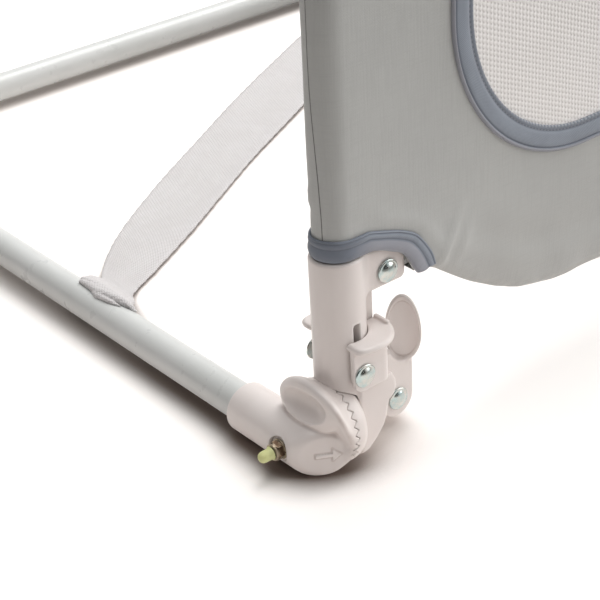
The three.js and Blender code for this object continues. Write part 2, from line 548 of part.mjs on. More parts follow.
const bindingWidth = WINDOW_IN_U - WINDOW_OUT_U;
{
  let cover = coverBody(COVER_OUT).subtract(coverBody(COVER_IN));
  cover = cover.subtract(prism(hemOutline.slice().reverse(), 'xz', -40, 40));
  cover = cover.subtract(prism(windowOutline(bindingWidth * 0.5), 'xz', -40, 40));
  addMesh('fabric_cover', cover, greyTaffeta);
}
for (const [side, s] of [['front', -1], ['back', 1]]) {
  const y = (a, b) => (s < 0 ? [-b, -a] : [a, b]);
  addMesh(`window_mesh_${side}`, prism(windowOutline(bindingWidth * 0.5 + 0.4), 'xz', ...y(COVER_IN, COVER_OUT)), whiteMesh);
  addMesh(`window_binding_${side}`,
    prism(windowOutline(0), 'xz', ...y(COVER_OUT + 0.25, COVER_OUT + 1.5), [windowOutline(bindingWidth).reverse()]), bluePiping);
}
// blue-grey hem band round each post foot, rising over the wing
for (const [side, sign] of [['left', 1], ['right', -1]]) {
  const r0 = COVER_OUT + FIT, r1 = r0 + 1.2;
  const bandOutline = [[-20, 110.8], [34, 110.8], [43, 109.6], [47, 108.0], [50.8, 104.4], [54, 99], [56.6, 93.4], [58.4, 88.8], [66, 87.6],
    [65, 97], [62.6, 105], [58.4, 111.6], [52, 116.6], [43, 120.2], [32, 122.2], [-20, 122.8]];
  const shell = rodZ(80, 140, r1, POST_U, 0, 24).add(box(POST_U, 68, -r1, r1, 80, 140))
    .subtract(rodZ(70, 150, r0, POST_U, 0, 24)).subtract(box(POST_U, 90, -r0, r0, 70, 150));
  const band = shell.intersect(prism(bandOutline, 'xz', -40, 40));
  addMesh(`hem_band_${side}`, band, bluePiping, { x: -sign * HALF, mirrored: sign < 0 });
}

export default group;
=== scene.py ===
# Folding bed guard rail: shells, fabric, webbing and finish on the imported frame.
# Lengths are metres in the frame. Shapes of one end are worked out in millimetres in
# (u, y, z): u from the axis of the base arm toward the middle of the rail, y from the
# hinge axis toward the rear bar, z up from the floor.
import math

import bmesh
import bpy
import numpy as np
from mathutils import Matrix, Vector
from mathutils.geometry import delaunay_2d_cdt

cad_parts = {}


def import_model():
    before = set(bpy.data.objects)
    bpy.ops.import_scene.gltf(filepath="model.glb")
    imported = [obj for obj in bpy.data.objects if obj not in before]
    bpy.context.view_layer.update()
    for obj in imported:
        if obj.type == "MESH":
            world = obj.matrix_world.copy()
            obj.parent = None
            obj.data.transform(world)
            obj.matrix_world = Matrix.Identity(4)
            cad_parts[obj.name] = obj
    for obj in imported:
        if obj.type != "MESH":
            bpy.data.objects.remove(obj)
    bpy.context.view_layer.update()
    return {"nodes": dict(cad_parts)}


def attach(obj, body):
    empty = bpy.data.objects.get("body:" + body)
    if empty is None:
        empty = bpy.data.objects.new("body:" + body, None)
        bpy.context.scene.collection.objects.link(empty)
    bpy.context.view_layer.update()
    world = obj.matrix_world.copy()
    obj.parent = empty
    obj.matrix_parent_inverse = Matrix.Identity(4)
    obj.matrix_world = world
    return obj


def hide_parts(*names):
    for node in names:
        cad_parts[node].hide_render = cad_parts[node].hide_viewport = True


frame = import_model()
nodes = frame["nodes"]
scene = bpy.context.scene

HALF = 587.0
AXIS_Y = -243.85
SEAM = 11.55
HZ = 22.0
ARM_Z = 12.5
POST_U = 21.0
TOP_Z = 438.0
SIDES = ("left", "right")


# ------------------------------------------------------------------ camera first
def add_camera():
    yaw, pitch, roll = math.radians(38.235), math.radians(29.94), math.radians(-3.227)
    fwd = Vector((math.sin(yaw) * math.cos(pitch), math.cos(yaw) * math.cos(pitch), -math.sin(pitch)))
    right = Vector((math.cos(yaw), -math.sin(yaw), 0))
    up = right.cross(fwd)
    r2 = right * math.cos(roll) + up * math.sin(roll)
    u2 = -right * math.sin(roll) + up * math.cos(roll)
    data = bpy.data.cameras.new("photo_camera")
    data.sensor_width = 36.0
    data.lens = 1634.94 / 600 * 36
    data.clip_start, data.clip_end = 0.01, 40
    cam = bpy.data.objects.new("photo_camera", data)
    scene.collection.objects.link(cam)
    cam.matrix_world = Matrix.Translation((-0.98127, -0.7429, 0.4591)) @ Matrix((r2, u2, -fwd)).transposed().to_4x4()
    scene.camera = cam


add_camera()
scene.view_settings.view_transform = "Standard"
scene.view_settings.look = "None"


# ------------------------------------------------------------------ node materials
def lin(r, g, b):
    def f(c):
        c /= 255.0
        return c / 12.92 if c <= 0.04045 else ((c + 0.055) / 1.055) ** 2.4
    return (f(r), f(g), f(b), 1.0)


class Mat:
    """One material with a Principled shader and short ways to add nodes to it."""

    def __init__(self, name):
        self.m = bpy.data.materials.new(name)
        self.m.use_nodes = True
        self.t = self.m.node_tree
        self.t.nodes.clear()
        self.out = self.node("ShaderNodeOutputMaterial")
        self.b = self.node("ShaderNodeBsdfPrincipled")
        self.link(self.b.outputs[0], self.out.inputs[0])
        self.tc = self.node("ShaderNodeTexCoord")

    def node(self, kind, **props):
        n = self.t.nodes.new(kind)
        for k, v in props.items():
            setattr(n, k, v)
        return n

    def link(self, a, b):
        self.t.links.new(a, b)

    def put(self, socket, v):
        if hasattr(v, "links") or isinstance(v, bpy.types.NodeSocket):
            self.link(v, socket)
        else:
            socket.default_value = v

    def math(self, op, a, b=None, c=None, clamp=False):
        n = self.node("ShaderNodeMath", operation=op, use_clamp=clamp)
        self.put(n.inputs[0], a)
        if b is not None:
            self.put(n.inputs[1], b)
        if c is not None:
            self.put(n.inputs[2], c)
        return n.outputs[0]

    def mix(self, f, a, b, blend="MIX"):
        n = self.node("ShaderNodeMix", data_type="RGBA", blend_type=blend)
        self.put(n.inputs["Factor"], f)
        self.put(n.inputs[6], a)
        self.put(n.inputs[7], b)
        return n.outputs[2]

    def noise(self, vec, scale, detail=2.0, rough=0.5):
        n = self.node("ShaderNodeTexNoise")
        self.put(n.inputs["Vector"], vec)
        n.inputs["Scale"].default_value = scale
        n.inputs["Detail"].default_value = detail
        n.inputs["Roughness"].default_value = rough
        return n.outputs[0]

    def scaled(self, vec, s):
        n = self.node("ShaderNodeVectorMath", operation="MULTIPLY")
        self.put(n.inputs[0], vec)
        n.inputs[1].default_value = s
        return n.outputs[0]

    def ramp(self, f, lo, hi, a=0.0, b=1.0, smooth=True):
        n = self.node("ShaderNodeMapRange", interpolation_type="SMOOTHSTEP" if smooth else "LINEAR")
        self.put(n.inputs["Value"], f)
        n.inputs["From Min"].default_value = lo
        n.inputs["From Max"].default_value = hi
        n.inputs["To Min"].default_value = a
        n.inputs["To Max"].default_value = b
        return n.outputs[0]

    def uv(self):
        s = self.node("ShaderNodeSeparateXYZ")
        self.link(self.tc.outputs["UV"], s.inputs[0])
        return s.outputs[0], s.outputs[1]

    def attr(self, name):
        return self.node("ShaderNodeAttribute", attribute_name=name).outputs["Fac"]

    def bump(self, height, distance, strength=1.0, normal=None):
        n = self.node("ShaderNodeBump")
        n.inputs["Strength"].default_value = strength
        n.inputs["Distance"].default_value = distance
        self.put(n.inputs["Height"], height)
        if normal is not None:
            self.link(normal, n.inputs["Normal"])
        return n.outputs[0]

    def set(self, **v):
        for k, x in v.items():
            self.put(self.b.inputs[k.replace("_", " ")], x)
        return self


def plastic(name, base, deep, recess_shade_and_grime, rough=0.33):
    """Moulded plastic: faint flow marks, lighter high edges for wear, painted shade with dust in the recesses; the edge
    lightening is also painted light on the walls of the post slot.
    """
    m = Mat(name)
    o = m.tc.outputs["Object"]
    flow = m.ramp(m.noise(m.scaled(o, (1.0, 1.0, 0.35)), 38, 4, 0.6), 0.35, 0.68)
    col = m.mix(m.math("MULTIPLY", flow, 0.55), base, deep)
    # lighter high edges for wear; the walls of the post slot get this lightening too, as painted light
    edge = m.ramp(m.attr("edge"), 0.10, 0.55)
    col = m.mix(m.math("MULTIPLY", edge, 0.35), col, lin(250, 246, 243))
    speck = m.ramp(m.noise(o, 620, 3, 0.65), 0.60, 0.78)
    # painted shade in the recesses (cavity number), broken up with noise like dust
    recess_shade_and_dust = m.math("MULTIPLY", m.ramp(m.attr("cavity"), 0.05, 0.55), m.ramp(m.noise(o, 160, 4), 0.25, 0.7, 0.5, 1.0))
    col = m.mix(m.math("MULTIPLY", recess_shade_and_dust, 0.42), col, recess_shade_and_grime)
    col = m.mix(m.math("MULTIPLY", speck, 0.03), col, recess_shade_and_grime)
    wear = m.noise(m.scaled(o, (1.0, 2.6, 1.0)), 240, 3, 0.6)
    r = m.math("ADD", m.ramp(wear, 0.3, 0.75, rough - 0.03, rough + 0.02), m.math("MULTIPLY", recess_shade_and_dust, 0.2))
    m.b.inputs["Coat Weight"].default_value = 0.35
    m.b.inputs["Coat Roughness"].default_value = 0.18
    peel = m.bump(m.noise(o, 950, 2), 0.00005, 0.5)
    sink = m.bump(m.noise(o, 55, 2), 0.0006, 0.35, peel)
    m.set(Base_Color=col, Roughness=r, Normal=sink)
    m.b.inputs["Specular IOR Level"].default_value = 0.5
    m.b.inputs["IOR"].default_value = 1.47
    return m.m


def painted_steel():
    m = Mat("painted_steel")
    o = m.tc.outputs["Object"]
    tone = m.ramp(m.noise(o, 24, 4, 0.6), 0.35, 0.7)
    col = m.mix(m.math("MULTIPLY", tone, 0.6), lin(213, 215, 214), lin(203, 206, 204))
    scuff = m.ramp(m.noise(m.scaled(o, (1.0, 0.12, 1.0)), 420, 3, 0.7), 0.66, 0.8)
    col = m.mix(m.math("MULTIPLY", scuff, 0.22), col, lin(172, 170, 166))
    r = m.math("ADD", m.ramp(m.noise(o, 130, 3), 0.3, 0.7, 0.27, 0.37), m.math("MULTIPLY", scuff, 0.18))
    m.set(Base_Color=col, Roughness=r, Normal=m.bump(m.noise(o, 420, 3, 0.55), 0.00007, 0.6))
    m.b.inputs["Coat Weight"].default_value = 0.25
    m.b.inputs["Coat Roughness"].default_value = 0.2
    return m.m


def zinc():
    m = Mat("zinc_rivet")
    o = m.tc.outputs["Object"]
    t = m.ramp(m.noise(o, 260, 3, 0.6), 0.35, 0.68)
    col = m.mix(t, lin(196, 214, 214), lin(221, 222, 216))
    pit = m.ramp(m.noise(o, 1400, 2, 0.6), 0.62, 0.78)
    col = m.mix(m.math("MULTIPLY", pit, 0.5), col, lin(120, 130, 128))
    r = m.math("ADD", m.ramp(m.noise(o, 500, 3), 0.3, 0.7, 0.13, 0.24), m.math("MULTIPLY", pit, 0.2))
    m.set(Base_Color=col, Roughness=r, Normal=m.bump(m.noise(o, 700, 3, 0.6), 0.00006, 0.5))
    m.b.inputs["Metallic"].default_value = 1.0
    return m.m


def bronze():
    m = Mat("bronze_nut")
    o = m.tc.outputs["Object"]
    t = m.ramp(m.noise(o, 330, 3, 0.6), 0.35, 0.68)
    col = m.mix(t, lin(126, 108, 88), lin(84, 66, 52))
    edge = m.ramp(m.attr("edge"), 0.10, 0.5)
    col = m.mix(m.math("MULTIPLY", edge, 0.6), col, lin(202, 190, 168))
    m.set(Base_Color=col, Roughness=m.ramp(m.noise(o, 600, 3), 0.3, 0.7, 0.24, 0.40),
          Normal=m.bump(m.noise(o, 900, 3, 0.6), 0.00008, 0.6))
    m.b.inputs["Metallic"].default_value = 0.9
    return m.m


def pale_cap():
    m = Mat("pale_cap")
    o = m.tc.outputs["Object"]
    t = m.ramp(m.noise(o, 210, 3, 0.6), 0.35, 0.7)
    col = m.mix(t, lin(226, 229, 170), lin(214, 217, 150))
    m.set(Base_Color=col, Roughness=m.ramp(m.noise(o, 500, 2), 0.3, 0.7, 0.34, 0.46),
          Normal=m.bump(m.noise(o, 800, 2), 0.00008, 0.5))
    m.b.inputs["Subsurface Weight"].default_value = 0.15
    m.b.inputs["Subsurface Radius"].default_value = (0.002, 0.002, 0.001)
    return m.m


def woven(m, x, y, px, py):
    """Plain weave height: warp and weft threads that pass over each other."""
    sx = m.math("SINE", m.math("MULTIPLY", x, 2 * math.pi / px))
    sy = m.math("SINE", m.math("MULTIPLY", y, 2 * math.pi / py))
    return m.math("MULTIPLY", sx, sy), sx, sy


def taffeta():
    m = Mat("grey_taffeta")
    x, y = m.uv()
    o = m.tc.outputs["UV"]
    over, sx, sy = woven(m, x, y, 0.00062, 0.00070)
    slub = m.ramp(m.noise(m.scaled(o, (1.0, 0.05, 1.0)), 900, 2, 0.6), 0.35, 0.72)
    slub2 = m.ramp(m.noise(m.scaled(o, (0.05, 1.0, 1.0)), 1100, 2, 0.6), 0.35, 0.72)
    cloud = m.ramp(m.noise(o, 21, 3, 0.5), 0.3, 0.72)
    col = m.mix(m.math("MULTIPLY", cloud, 0.5), lin(194, 196, 194), lin(187, 189, 188))
    col = m.mix(m.math("MULTIPLY", m.math("MAXIMUM", slub, slub2), 0.16), col, lin(162, 163, 162))
    col = m.mix(m.math("MULTIPLY", m.ramp(over, -1, 1), 0.07), col, lin(212, 213, 212))
    seam = m.attr("seam")
    col = m.mix(m.math("MULTIPLY", m.ramp(seam, 0.25, 0.95), 0.80), col, lin(62, 56, 54))
    crease = m.noise(m.scaled(o, (1.0, 0.55, 1.0)), 34, 3, 0.5)
    n = m.bump(crease, 0.0011, 0.35)
    n = m.bump(over, 0.00006, 0.5, n)
    n = m.bump(m.math("ADD", slub, slub2), 0.00005, 0.5, n)
    m.set(Base_Color=col, Roughness=m.ramp(over, -1, 1, 0.50, 0.62), Normal=n)
    m.b.inputs["Sheen Weight"].default_value = 0.18
    m.b.inputs["Sheen Roughness"].default_value = 0.45
    m.b.inputs["Specular IOR Level"].default_value = 0.35
    return m.m


def binding():
    m = Mat("blue_binding")
    x, y = m.uv()
    o = m.tc.outputs["UV"]
    over, sx, sy = woven(m, x, y, 0.0011, 0.0008)
    tone = m.ramp(m.noise(o, 60, 3, 0.55), 0.3, 0.72)
    col = m.mix(m.math("MULTIPLY", tone, 0.6), lin(151, 160, 173), lin(141, 149, 161))
    col = m.mix(m.math("MULTIPLY", m.ramp(over, -1, 1), 0.14), col, lin(168, 174, 184))
    # greyer piping of the window tape; on the hem band the same number paints light on the front lower roll
    piping_and_band_light = m.attr("piping_and_band_light")
    col = m.mix(m.math("MULTIPLY", piping_and_band_light, 0.75), col, lin(158, 158, 166))
    # painted shade: the groove number darkens the creases of the tapes, and the post side of the hem band
    groove = m.attr("groove")
    col = m.mix(m.math("MULTIPLY", groove, 0.72), col, lin(70, 74, 88))
    stitch = m.math("MULTIPLY", m.attr("stitch"), m.ramp(m.math("SINE", m.math("MULTIPLY", x, 2 * math.pi / 0.0026)), -0.35, 0.25))
    col = m.mix(m.math("MULTIPLY", stitch, 0.85), col, lin(205, 208, 214))
    n = m.bump(over, 0.00010, 0.6)
    n = m.bump(stitch, 0.0004, 0.8, n)
    n = m.bump(m.noise(o, 150, 3), 0.0004, 0.4, n)
    m.set(Base_Color=col, Roughness=m.ramp(over, -1, 1, 0.55, 0.72), Normal=n)
    m.b.inputs["Sheen Weight"].default_value = 0.2
    m.b.inputs["Sheen Roughness"].default_value = 0.5
    m.b.inputs["Specular IOR Level"].default_value = 0.3
    return m.m


def window_net():
    """Warp-knitted net: upright ribs, slanted ties and small staggered holes."""
    m = Mat("white_mesh")
    x, y = m.uv()
    rib = m.math("ABSOLUTE", m.math("SINE", m.math("MULTIPLY", x, math.pi / 0.00235)))
    lean = m.math("ADD", y, m.math("MULTIPLY", x, 0.42))
    cx = m.math("COSINE", m.math("MULTIPLY", x, 2 * math.pi / 0.00235))
    cy = m.math("COSINE", m.math("MULTIPLY", lean, 2 * math.pi / 0.0025))
    hole = m.math("MULTIPLY", m.ramp(cx, -0.05, -0.75), m.ramp(cy, 0.05, 0.62))
    tie = m.math("MULTIPLY", cy, -1.0)
    tone = m.ramp(m.noise(m.tc.outputs["UV"], 35, 3), 0.3, 0.7)
    col = m.mix(m.math("MULTIPLY", tone, 0.5), lin(254, 252, 251), lin(250, 248, 246))
    col = m.mix(m.math("MULTIPLY", hole, 0.30), col, lin(222, 215, 211))
    n = m.bump(rib, 0.00022, 0.55)
    n = m.bump(tie, 0.00012, 0.5, n)
    alpha = m.math("SUBTRACT", 1.0, m.math("MULTIPLY", hole, 0.16))
    m.set(Base_Color=col, Roughness=m.ramp(rib, 0, 1, 0.62, 0.8), Normal=n, Alpha=alpha)
    m.b.inputs["Sheen Weight"].default_value = 0.25
    return m.m


def webbing():
    """Woven polyester strap: staggered floats in rows, firmer selvedge."""
    m = Mat("white_webbing")
    x, y = m.uv()
    row = m.math("FLOOR", m.math("DIVIDE", y, 0.0015))
    shift = m.math("MULTIPLY", m.math("MODULO", row, 2.0), 0.00095)
    xs = m.math("ADD", x, shift)
    a = m.math("ABSOLUTE", m.math("SINE", m.math("MULTIPLY", xs, math.pi / 0.0019)))
    b = m.math("ABSOLUTE", m.math("SINE", m.math("MULTIPLY", y, math.pi / 0.0015)))
    h = m.math("MULTIPLY", m.math("POWER", a, 0.7), m.math("POWER", b, 0.7))
    tone = m.ramp(m.noise(m.tc.outputs["UV"], 45, 3), 0.3, 0.7)
    col = m.mix(m.math("MULTIPLY", tone, 0.5), lin(224, 222, 223), lin(217, 214, 214))
    # painted shade: darker in the gaps between the floats
    col = m.mix(m.ramp(h, 0.0, 0.55, 0.5, 0.0), col, lin(186, 180, 178))
    n = m.bump(h, 0.00045, 0.8)
    n = m.bump(m.noise(m.tc.outputs["UV"], 2600, 2), 0.00008, 0.5, n)
    m.set(Base_Color=col, Roughness=m.ramp(h, 0, 1, 0.85, 0.66), Normal=n)
    m.b.inputs["Sheen Weight"].default_value = 0.25
    m.b.inputs["Specular IOR Level"].default_value = 0.3
    return m.m


def thread():
    m = Mat("stitch_thread")
    o = m.tc.outputs["Object"]
    col = m.mix(m.ramp(m.noise(o, 900, 2), 0.3, 0.7), lin(232, 232, 234), lin(212, 211, 212))
    m.set(Base_Color=col, Roughness=m.ramp(m.noise(o, 1500, 2), 0.3, 0.7, 0.55, 0.75),
          Normal=m.bump(m.noise(o, 2500, 2), 0.0001, 0.6))
    return m.m


M = {
    "painted_steel": painted_steel(),
    # the last colour is painted shade for the recesses and grime for the small specks
    "white_plastic": plastic("white_plastic", lin(235, 228, 225), lin(229, 220, 216), lin(172, 152, 142)),
    "zinc_rivet": zinc(),
    "bronze_nut": bronze(),
    "pale_cap": pale_cap(),
    "grey_taffeta": taffeta(),
    "blue_binding": binding(),
    "white_mesh": window_net(),
    "white_webbing": webbing(),
}
THREAD = thread()


# ------------------------------------------------------------------ mesh helpers
def world(v, side):
    """(u, y, z) in mm of one end to metres in the frame."""
    v = np.asarray(v, float)
    out = np.empty_like(v)
    out[:, 0] = (-HALF + v[:, 0]) if side == "left" else (HALF - v[:, 0])
    out[:, 1] = v[:, 1] + AXIS_Y
    out[:, 2] = v[:, 2]
    return out / 1000.0


def make(name, v, f, material, uv=None, attrs=None, smooth=True, flip=False):
    """A mesh object from metres, faces, per-vertex UV and per-vertex numbers."""
    me = bpy.data.meshes.new(name)
    if isinstance(f, np.ndarray):
        f = f[:, ::-1] if flip else f
        f = f.tolist()
    elif flip:
        f = [tuple(reversed(q)) for q in f]
    me.from_pydata([tuple(p) for p in v], [], f)
    me.update()
    if smooth:
        me.polygons.foreach_set("use_smooth", [True] * len(me.polygons))
    if uv is not None:
        layer = me.uv_layers.new(name="UVMap")
        idx = np.empty(len(me.loops), np.int64)
        me.loops.foreach_get("vertex_index", idx)
        layer.data.foreach_set("uv", np.asarray(uv, float)[idx].ravel())
    for k, a in (attrs or {}).items():
        at = me.attributes.new(k, "FLOAT", "POINT")
        at.data.foreach_set("value", np.asarray(a, np.float32))
    me.materials.append(material)
    ob = bpy.data.objects.new(name, me)
    scene.collection.objects.link(ob)
    return ob


def done(ob, body, slot, *replaced):
    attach(ob, body)
    if replaced:
        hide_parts(*replaced)
    return ob


def smin(a, b, k):
    h = np.clip(0.5 + 0.5 * (b - a) / k, 0, 1)
    return b + (a - b) * h - k * h * (1 - h)


def smax(a, b, k):
    return -smin(-a, -b, k)


def poly(x, y, pts):
    """Signed distance to a polygon."""
    pts = np.asarray(pts, float)
    d = np.full(x.shape, 1e9)
    inside = np.zeros(x.shape, bool)
    for i in range(len(pts)):
        ax, ay = pts[i]
        bx, by = pts[(i + 1) % len(pts)]
        ex, ey = bx - ax, by - ay
        wx, wy = x - ax, y - ay
        t = np.clip((wx * ex + wy * ey) / (ex * ex + ey * ey + 1e-12), 0, 1)
        d = np.minimum(d, (wx - ex * t) ** 2 + (wy - ey * t) ** 2)
        if ey:
            c = ((ay <= y) & (y < by)) | ((by <= y) & (y < ay))
            inside ^= c & (x < ax + (y - ay) * ex / ey)
    return np.where(inside, -1, 1) * np.sqrt(d)


def rrect(x0, x1, y0, y1, r, n=6):
    """Rectangle with its corners rounded: lower left, lower right, upper right, upper left."""
    if not isinstance(r, (list, tuple)):
        r = [r] * 4
    out = []
    for i, (cx, cy, a0) in enumerate(((x0, y0, 180), (x1, y0, 270), (x1, y1, 0), (x0, y1, 90))):
        rr = r[i]
        if rr <= 0:
            out.append((cx, cy))
            continue
        ox = cx + (rr if i in (0, 3) else -rr)
        oy = cy + (rr if i in (0, 1) else -rr)
        for k in range(n + 1):
            a = math.radians(a0 + 90 * k / n)
            out.append((ox + rr * math.cos(a), oy + rr * math.sin(a)))
    return out


def ell(u, y, z, c, r, tilt=0.0):
    p = np.stack([u - c[0], y - c[1], z - c[2]], 0)
    if tilt:
        ca, sa = math.cos(-tilt), math.sin(-tilt)
        p = np.stack([p[0], p[1] * ca - p[2] * sa, p[1] * sa + p[2] * ca], 0)
    r = np.asarray(r, float).reshape(3, 1)
    k0 = np.sqrt(((p / r) ** 2).sum(0)) + 1e-9
    k1 = np.sqrt(((p / (r * r)) ** 2).sum(0)) + 1e-9
    return k0 * (k0 - 1) / k1


def box3(u, y, z, lo, hi, r=0.3):
    c = (np.array(lo) + np.array(hi)) / 2
    h = (np.array(hi) - np.array(lo)) / 2 - r
    q = [np.abs(u - c[0]) - h[0], np.abs(y - c[1]) - h[1], np.abs(z - c[2]) - h[2]]
    out = np.sqrt(sum(np.maximum(a, 0) ** 2 for a in q))
    return out + np.minimum(np.maximum(np.maximum(q[0], q[1]), q[2]), 0) - r


def curve(xs, ys):
    """Smooth curve through points, as a function."""
    xs, ys = np.asarray(xs, float), np.asarray(ys, float)
    m = np.gradient(ys, xs)
    fine = np.linspace(xs[0], xs[-1], 400)
    i = np.clip(np.searchsorted(xs, fine) - 1, 0, len(xs) - 2)
    h = xs[i + 1] - xs[i]
    t = (fine - xs[i]) / h
    v = ((2 * t**3 - 3 * t**2 + 1) * ys[i] + (t**3 - 2 * t**2 + t) * h * m[i]
         + (-2 * t**3 + 3 * t**2) * ys[i + 1] + (t**3 - t**2) * h * m[i + 1])
    return lambda x: np.interp(x, fine, v)


def nets(f, lo, hi, h):
    """Surface of f = 0 as smooth quads, drawn onto the surface, with edge and cavity numbers."""
    lo, hi = np.array(lo, float), np.array(hi, float)
    k = 4
    n = (np.ceil((hi - lo) / h / k).astype(int)) * k + 1
    nc = (n - 1) // k + 1
    axc = [lo[i] + h * k * np.arange(nc[i]) for i in range(3)]
    g = np.meshgrid(*axc, indexing="ij")
    dc = f(np.stack([a.ravel() for a in g], 1)).reshape(nc)
    pick = [np.clip((np.arange(n[i]) + k // 2) // k, 0, nc[i] - 1) for i in range(3)]
    d = dc[np.ix_(*pick)].copy()
    near = np.abs(d) < h * k * 1.9
    at = np.argwhere(near)
    vals = np.empty(len(at))
    for s in range(0, len(at), 400000):
        vals[s:s + 400000] = f(lo + h * at[s:s + 400000])
    d[near] = vals
    s_ = d < 0
    cnt = np.zeros(tuple(n - 1), np.int8)
    for i in (0, 1):
        for j in (0, 1):
            for l in (0, 1):
                cnt += s_[i:n[0] - 1 + i, j:n[1] - 1 + j, l:n[2] - 1 + l]
    act = (cnt > 0) & (cnt < 8)
    idx = np.full(act.shape, -1)
    idx[act] = np.arange(act.sum())
    cells = np.argwhere(act)
    acc = np.zeros((len(cells), 3))
    num = np.zeros(len(cells))
    for a in range(3):
        b, c = [(1, 2), (2, 0), (0, 1)][a]
        for i in (0, 1):
            for j in (0, 1):
                p0 = cells.copy()
                p0[:, b] += i
                p0[:, c] += j
                p1 = p0.copy()
                p1[:, a] += 1
                d0, d1 = d[tuple(p0.T)], d[tuple(p1.T)]
                m = (d0 < 0) != (d1 < 0)
                t = d0[m] / (d0[m] - d1[m])
                pt = p0[m].astype(float)
                pt[:, a] += t
                acc[m] += pt
                num[m] += 1
    v = lo + h * acc / num[:, None]
    quads = []
    for a in range(3):
        b, c = [(1, 2), (2, 0), (0, 1)][a]
        s0, s1 = [slice(None)] * 3, [slice(None)] * 3
        s0[a], s1[a] = slice(0, n[a] - 1), slice(1, n[a])
        low = s_[tuple(s0)]
        e = np.argwhere(low != s_[tuple(s1)])
        e = e[(e[:, b] > 0) & (e[:, b] < n[b] - 1) & (e[:, c] > 0) & (e[:, c] < n[c] - 1)]
        q = []
        for db, dc_ in ((1, 1), (0, 1), (0, 0), (1, 0)):
            w = e.copy()
            w[:, b] -= db
            w[:, c] -= dc_
            q.append(idx[tuple(w.T)])
        q = np.stack(q, 1)
        out = low[tuple(e.T)]
        quads.append(np.where(out[:, None], q, q[:, ::-1]))
    quads = np.concatenate(quads)

    def grad(p, e=0.04):
        return np.stack([f(p + np.array(o) * e) - f(p - np.array(o) * e) for o in ((1, 0, 0), (0, 1, 0), (0, 0, 1))], 1) / (2 * e)

    for _ in range(3):
        dv, gr = f(v), grad(v)
        step = dv[:, None] * gr / np.maximum((gr ** 2).sum(1), 0.09)[:, None]
        ln = np.linalg.norm(step, axis=1)
        v = v - step * np.minimum(1, 0.6 * h / np.maximum(ln, 1e-9))[:, None]
    gr = grad(v)
    nrm = gr / np.maximum(np.linalg.norm(gr, axis=1), 1e-9)[:, None]
    edge = np.clip(1 + f(v - nrm * 0.9) / 0.9, 0, 1)
    cavity = np.clip(1 - f(v + nrm * 1.1) / 1.1, 0, 1)
    return v, quads, {"edge": edge, "cavity": cavity}


def both(name, f, lo, hi, h, slot, bodies, tune=None):
    """The same moulded shape at both ends, the right one mirrored."""
    v, q, at = nets(f, lo, hi, h)
    if tune is not None:
        tune(v, at)
    for side, body in zip(SIDES, bodies):
        ob = make(f"{name}_{side}_shell", world(v, side), q, M[slot], attrs=at, flip=side == "right")
        done(ob, body, slot, f"{name}_{side}")


def revolve(profile, n=48):
    """Ring mesh of a (height, radius) profile about its axis; a closed list of points."""
    profile = np.asarray(profile, float)
    a = np.arange(n) * 2 * math.pi / n
    v, f = [], []
    for hgt, r in profile:
        v.append(np.stack([np.full(n, hgt), r * np.cos(a), r * np.sin(a)], 1))
    v = np.concatenate(v)
    for i in range(len(profile) - 1):
        for j in range(n):
            k = (j + 1) % n
            f.append((i * n + j, i * n + k, (i + 1) * n + k, (i + 1) * n + j))
    return v, f


def turned(name, axis, at, profile, slot, bodies, n=48):
    """A turned part: profile of (height, radius) along an axis of one end."""
    v, f = revolve(profile, n)
    order = {"x": (0, 1, 2), "y": (2, 0, 1), "z": (1, 2, 0)}[axis]
    w = np.empty_like(v)
    w[:, 0], w[:, 1], w[:, 2] = v[:, order[0]], v[:, order[1]], v[:, order[2]]
    w = w + np.array(at, float)
    for side, body in zip(SIDES, bodies):
        me = make(f"{name}_{side}_finish", world(w, side), f, M[slot])
        bm = bmesh.new()
        bm.from_mesh(me.data)
        bmesh.ops.remove_doubles(bm, verts=bm.verts, dist=1e-6)
        bmesh.ops.recalc_face_normals(bm, faces=bm.faces)
        bm.to_mesh(me.data)
        bm.free()
        done(me, body, slot, f"{name}_{side}")


def bent(points, bend, step=4.0):
    """Points of a bent tube: straight runs joined by arcs."""
    p = [np.array(q, float) for q in points]
    out = [p[0]]
    for i in range(1, len(p) - 1):
        a, b = p[i - 1] - p[i], p[i + 1] - p[i]
        a, b = a / np.linalg.norm(a), b / np.linalg.norm(b)
        c = p[i] + (a + b) * bend
        s, e = p[i] + a * bend, p[i] + b * bend
        n = 20
        for k in range(n + 1):
            t = k / n * math.pi / 2
            out.append(c + (s - c) * math.cos(t) + (e - c) * math.sin(t))
    out.append(p[-1])
    full = [out[0]]
    for q in out[1:]:
        d = np.linalg.norm(q - full[-1])
        m = max(1, int(d / 12))
        base = full[-1]
        for k in range(1, m + 1):
            full.append(base + (q - base) * k / m)
    return np.array(full)


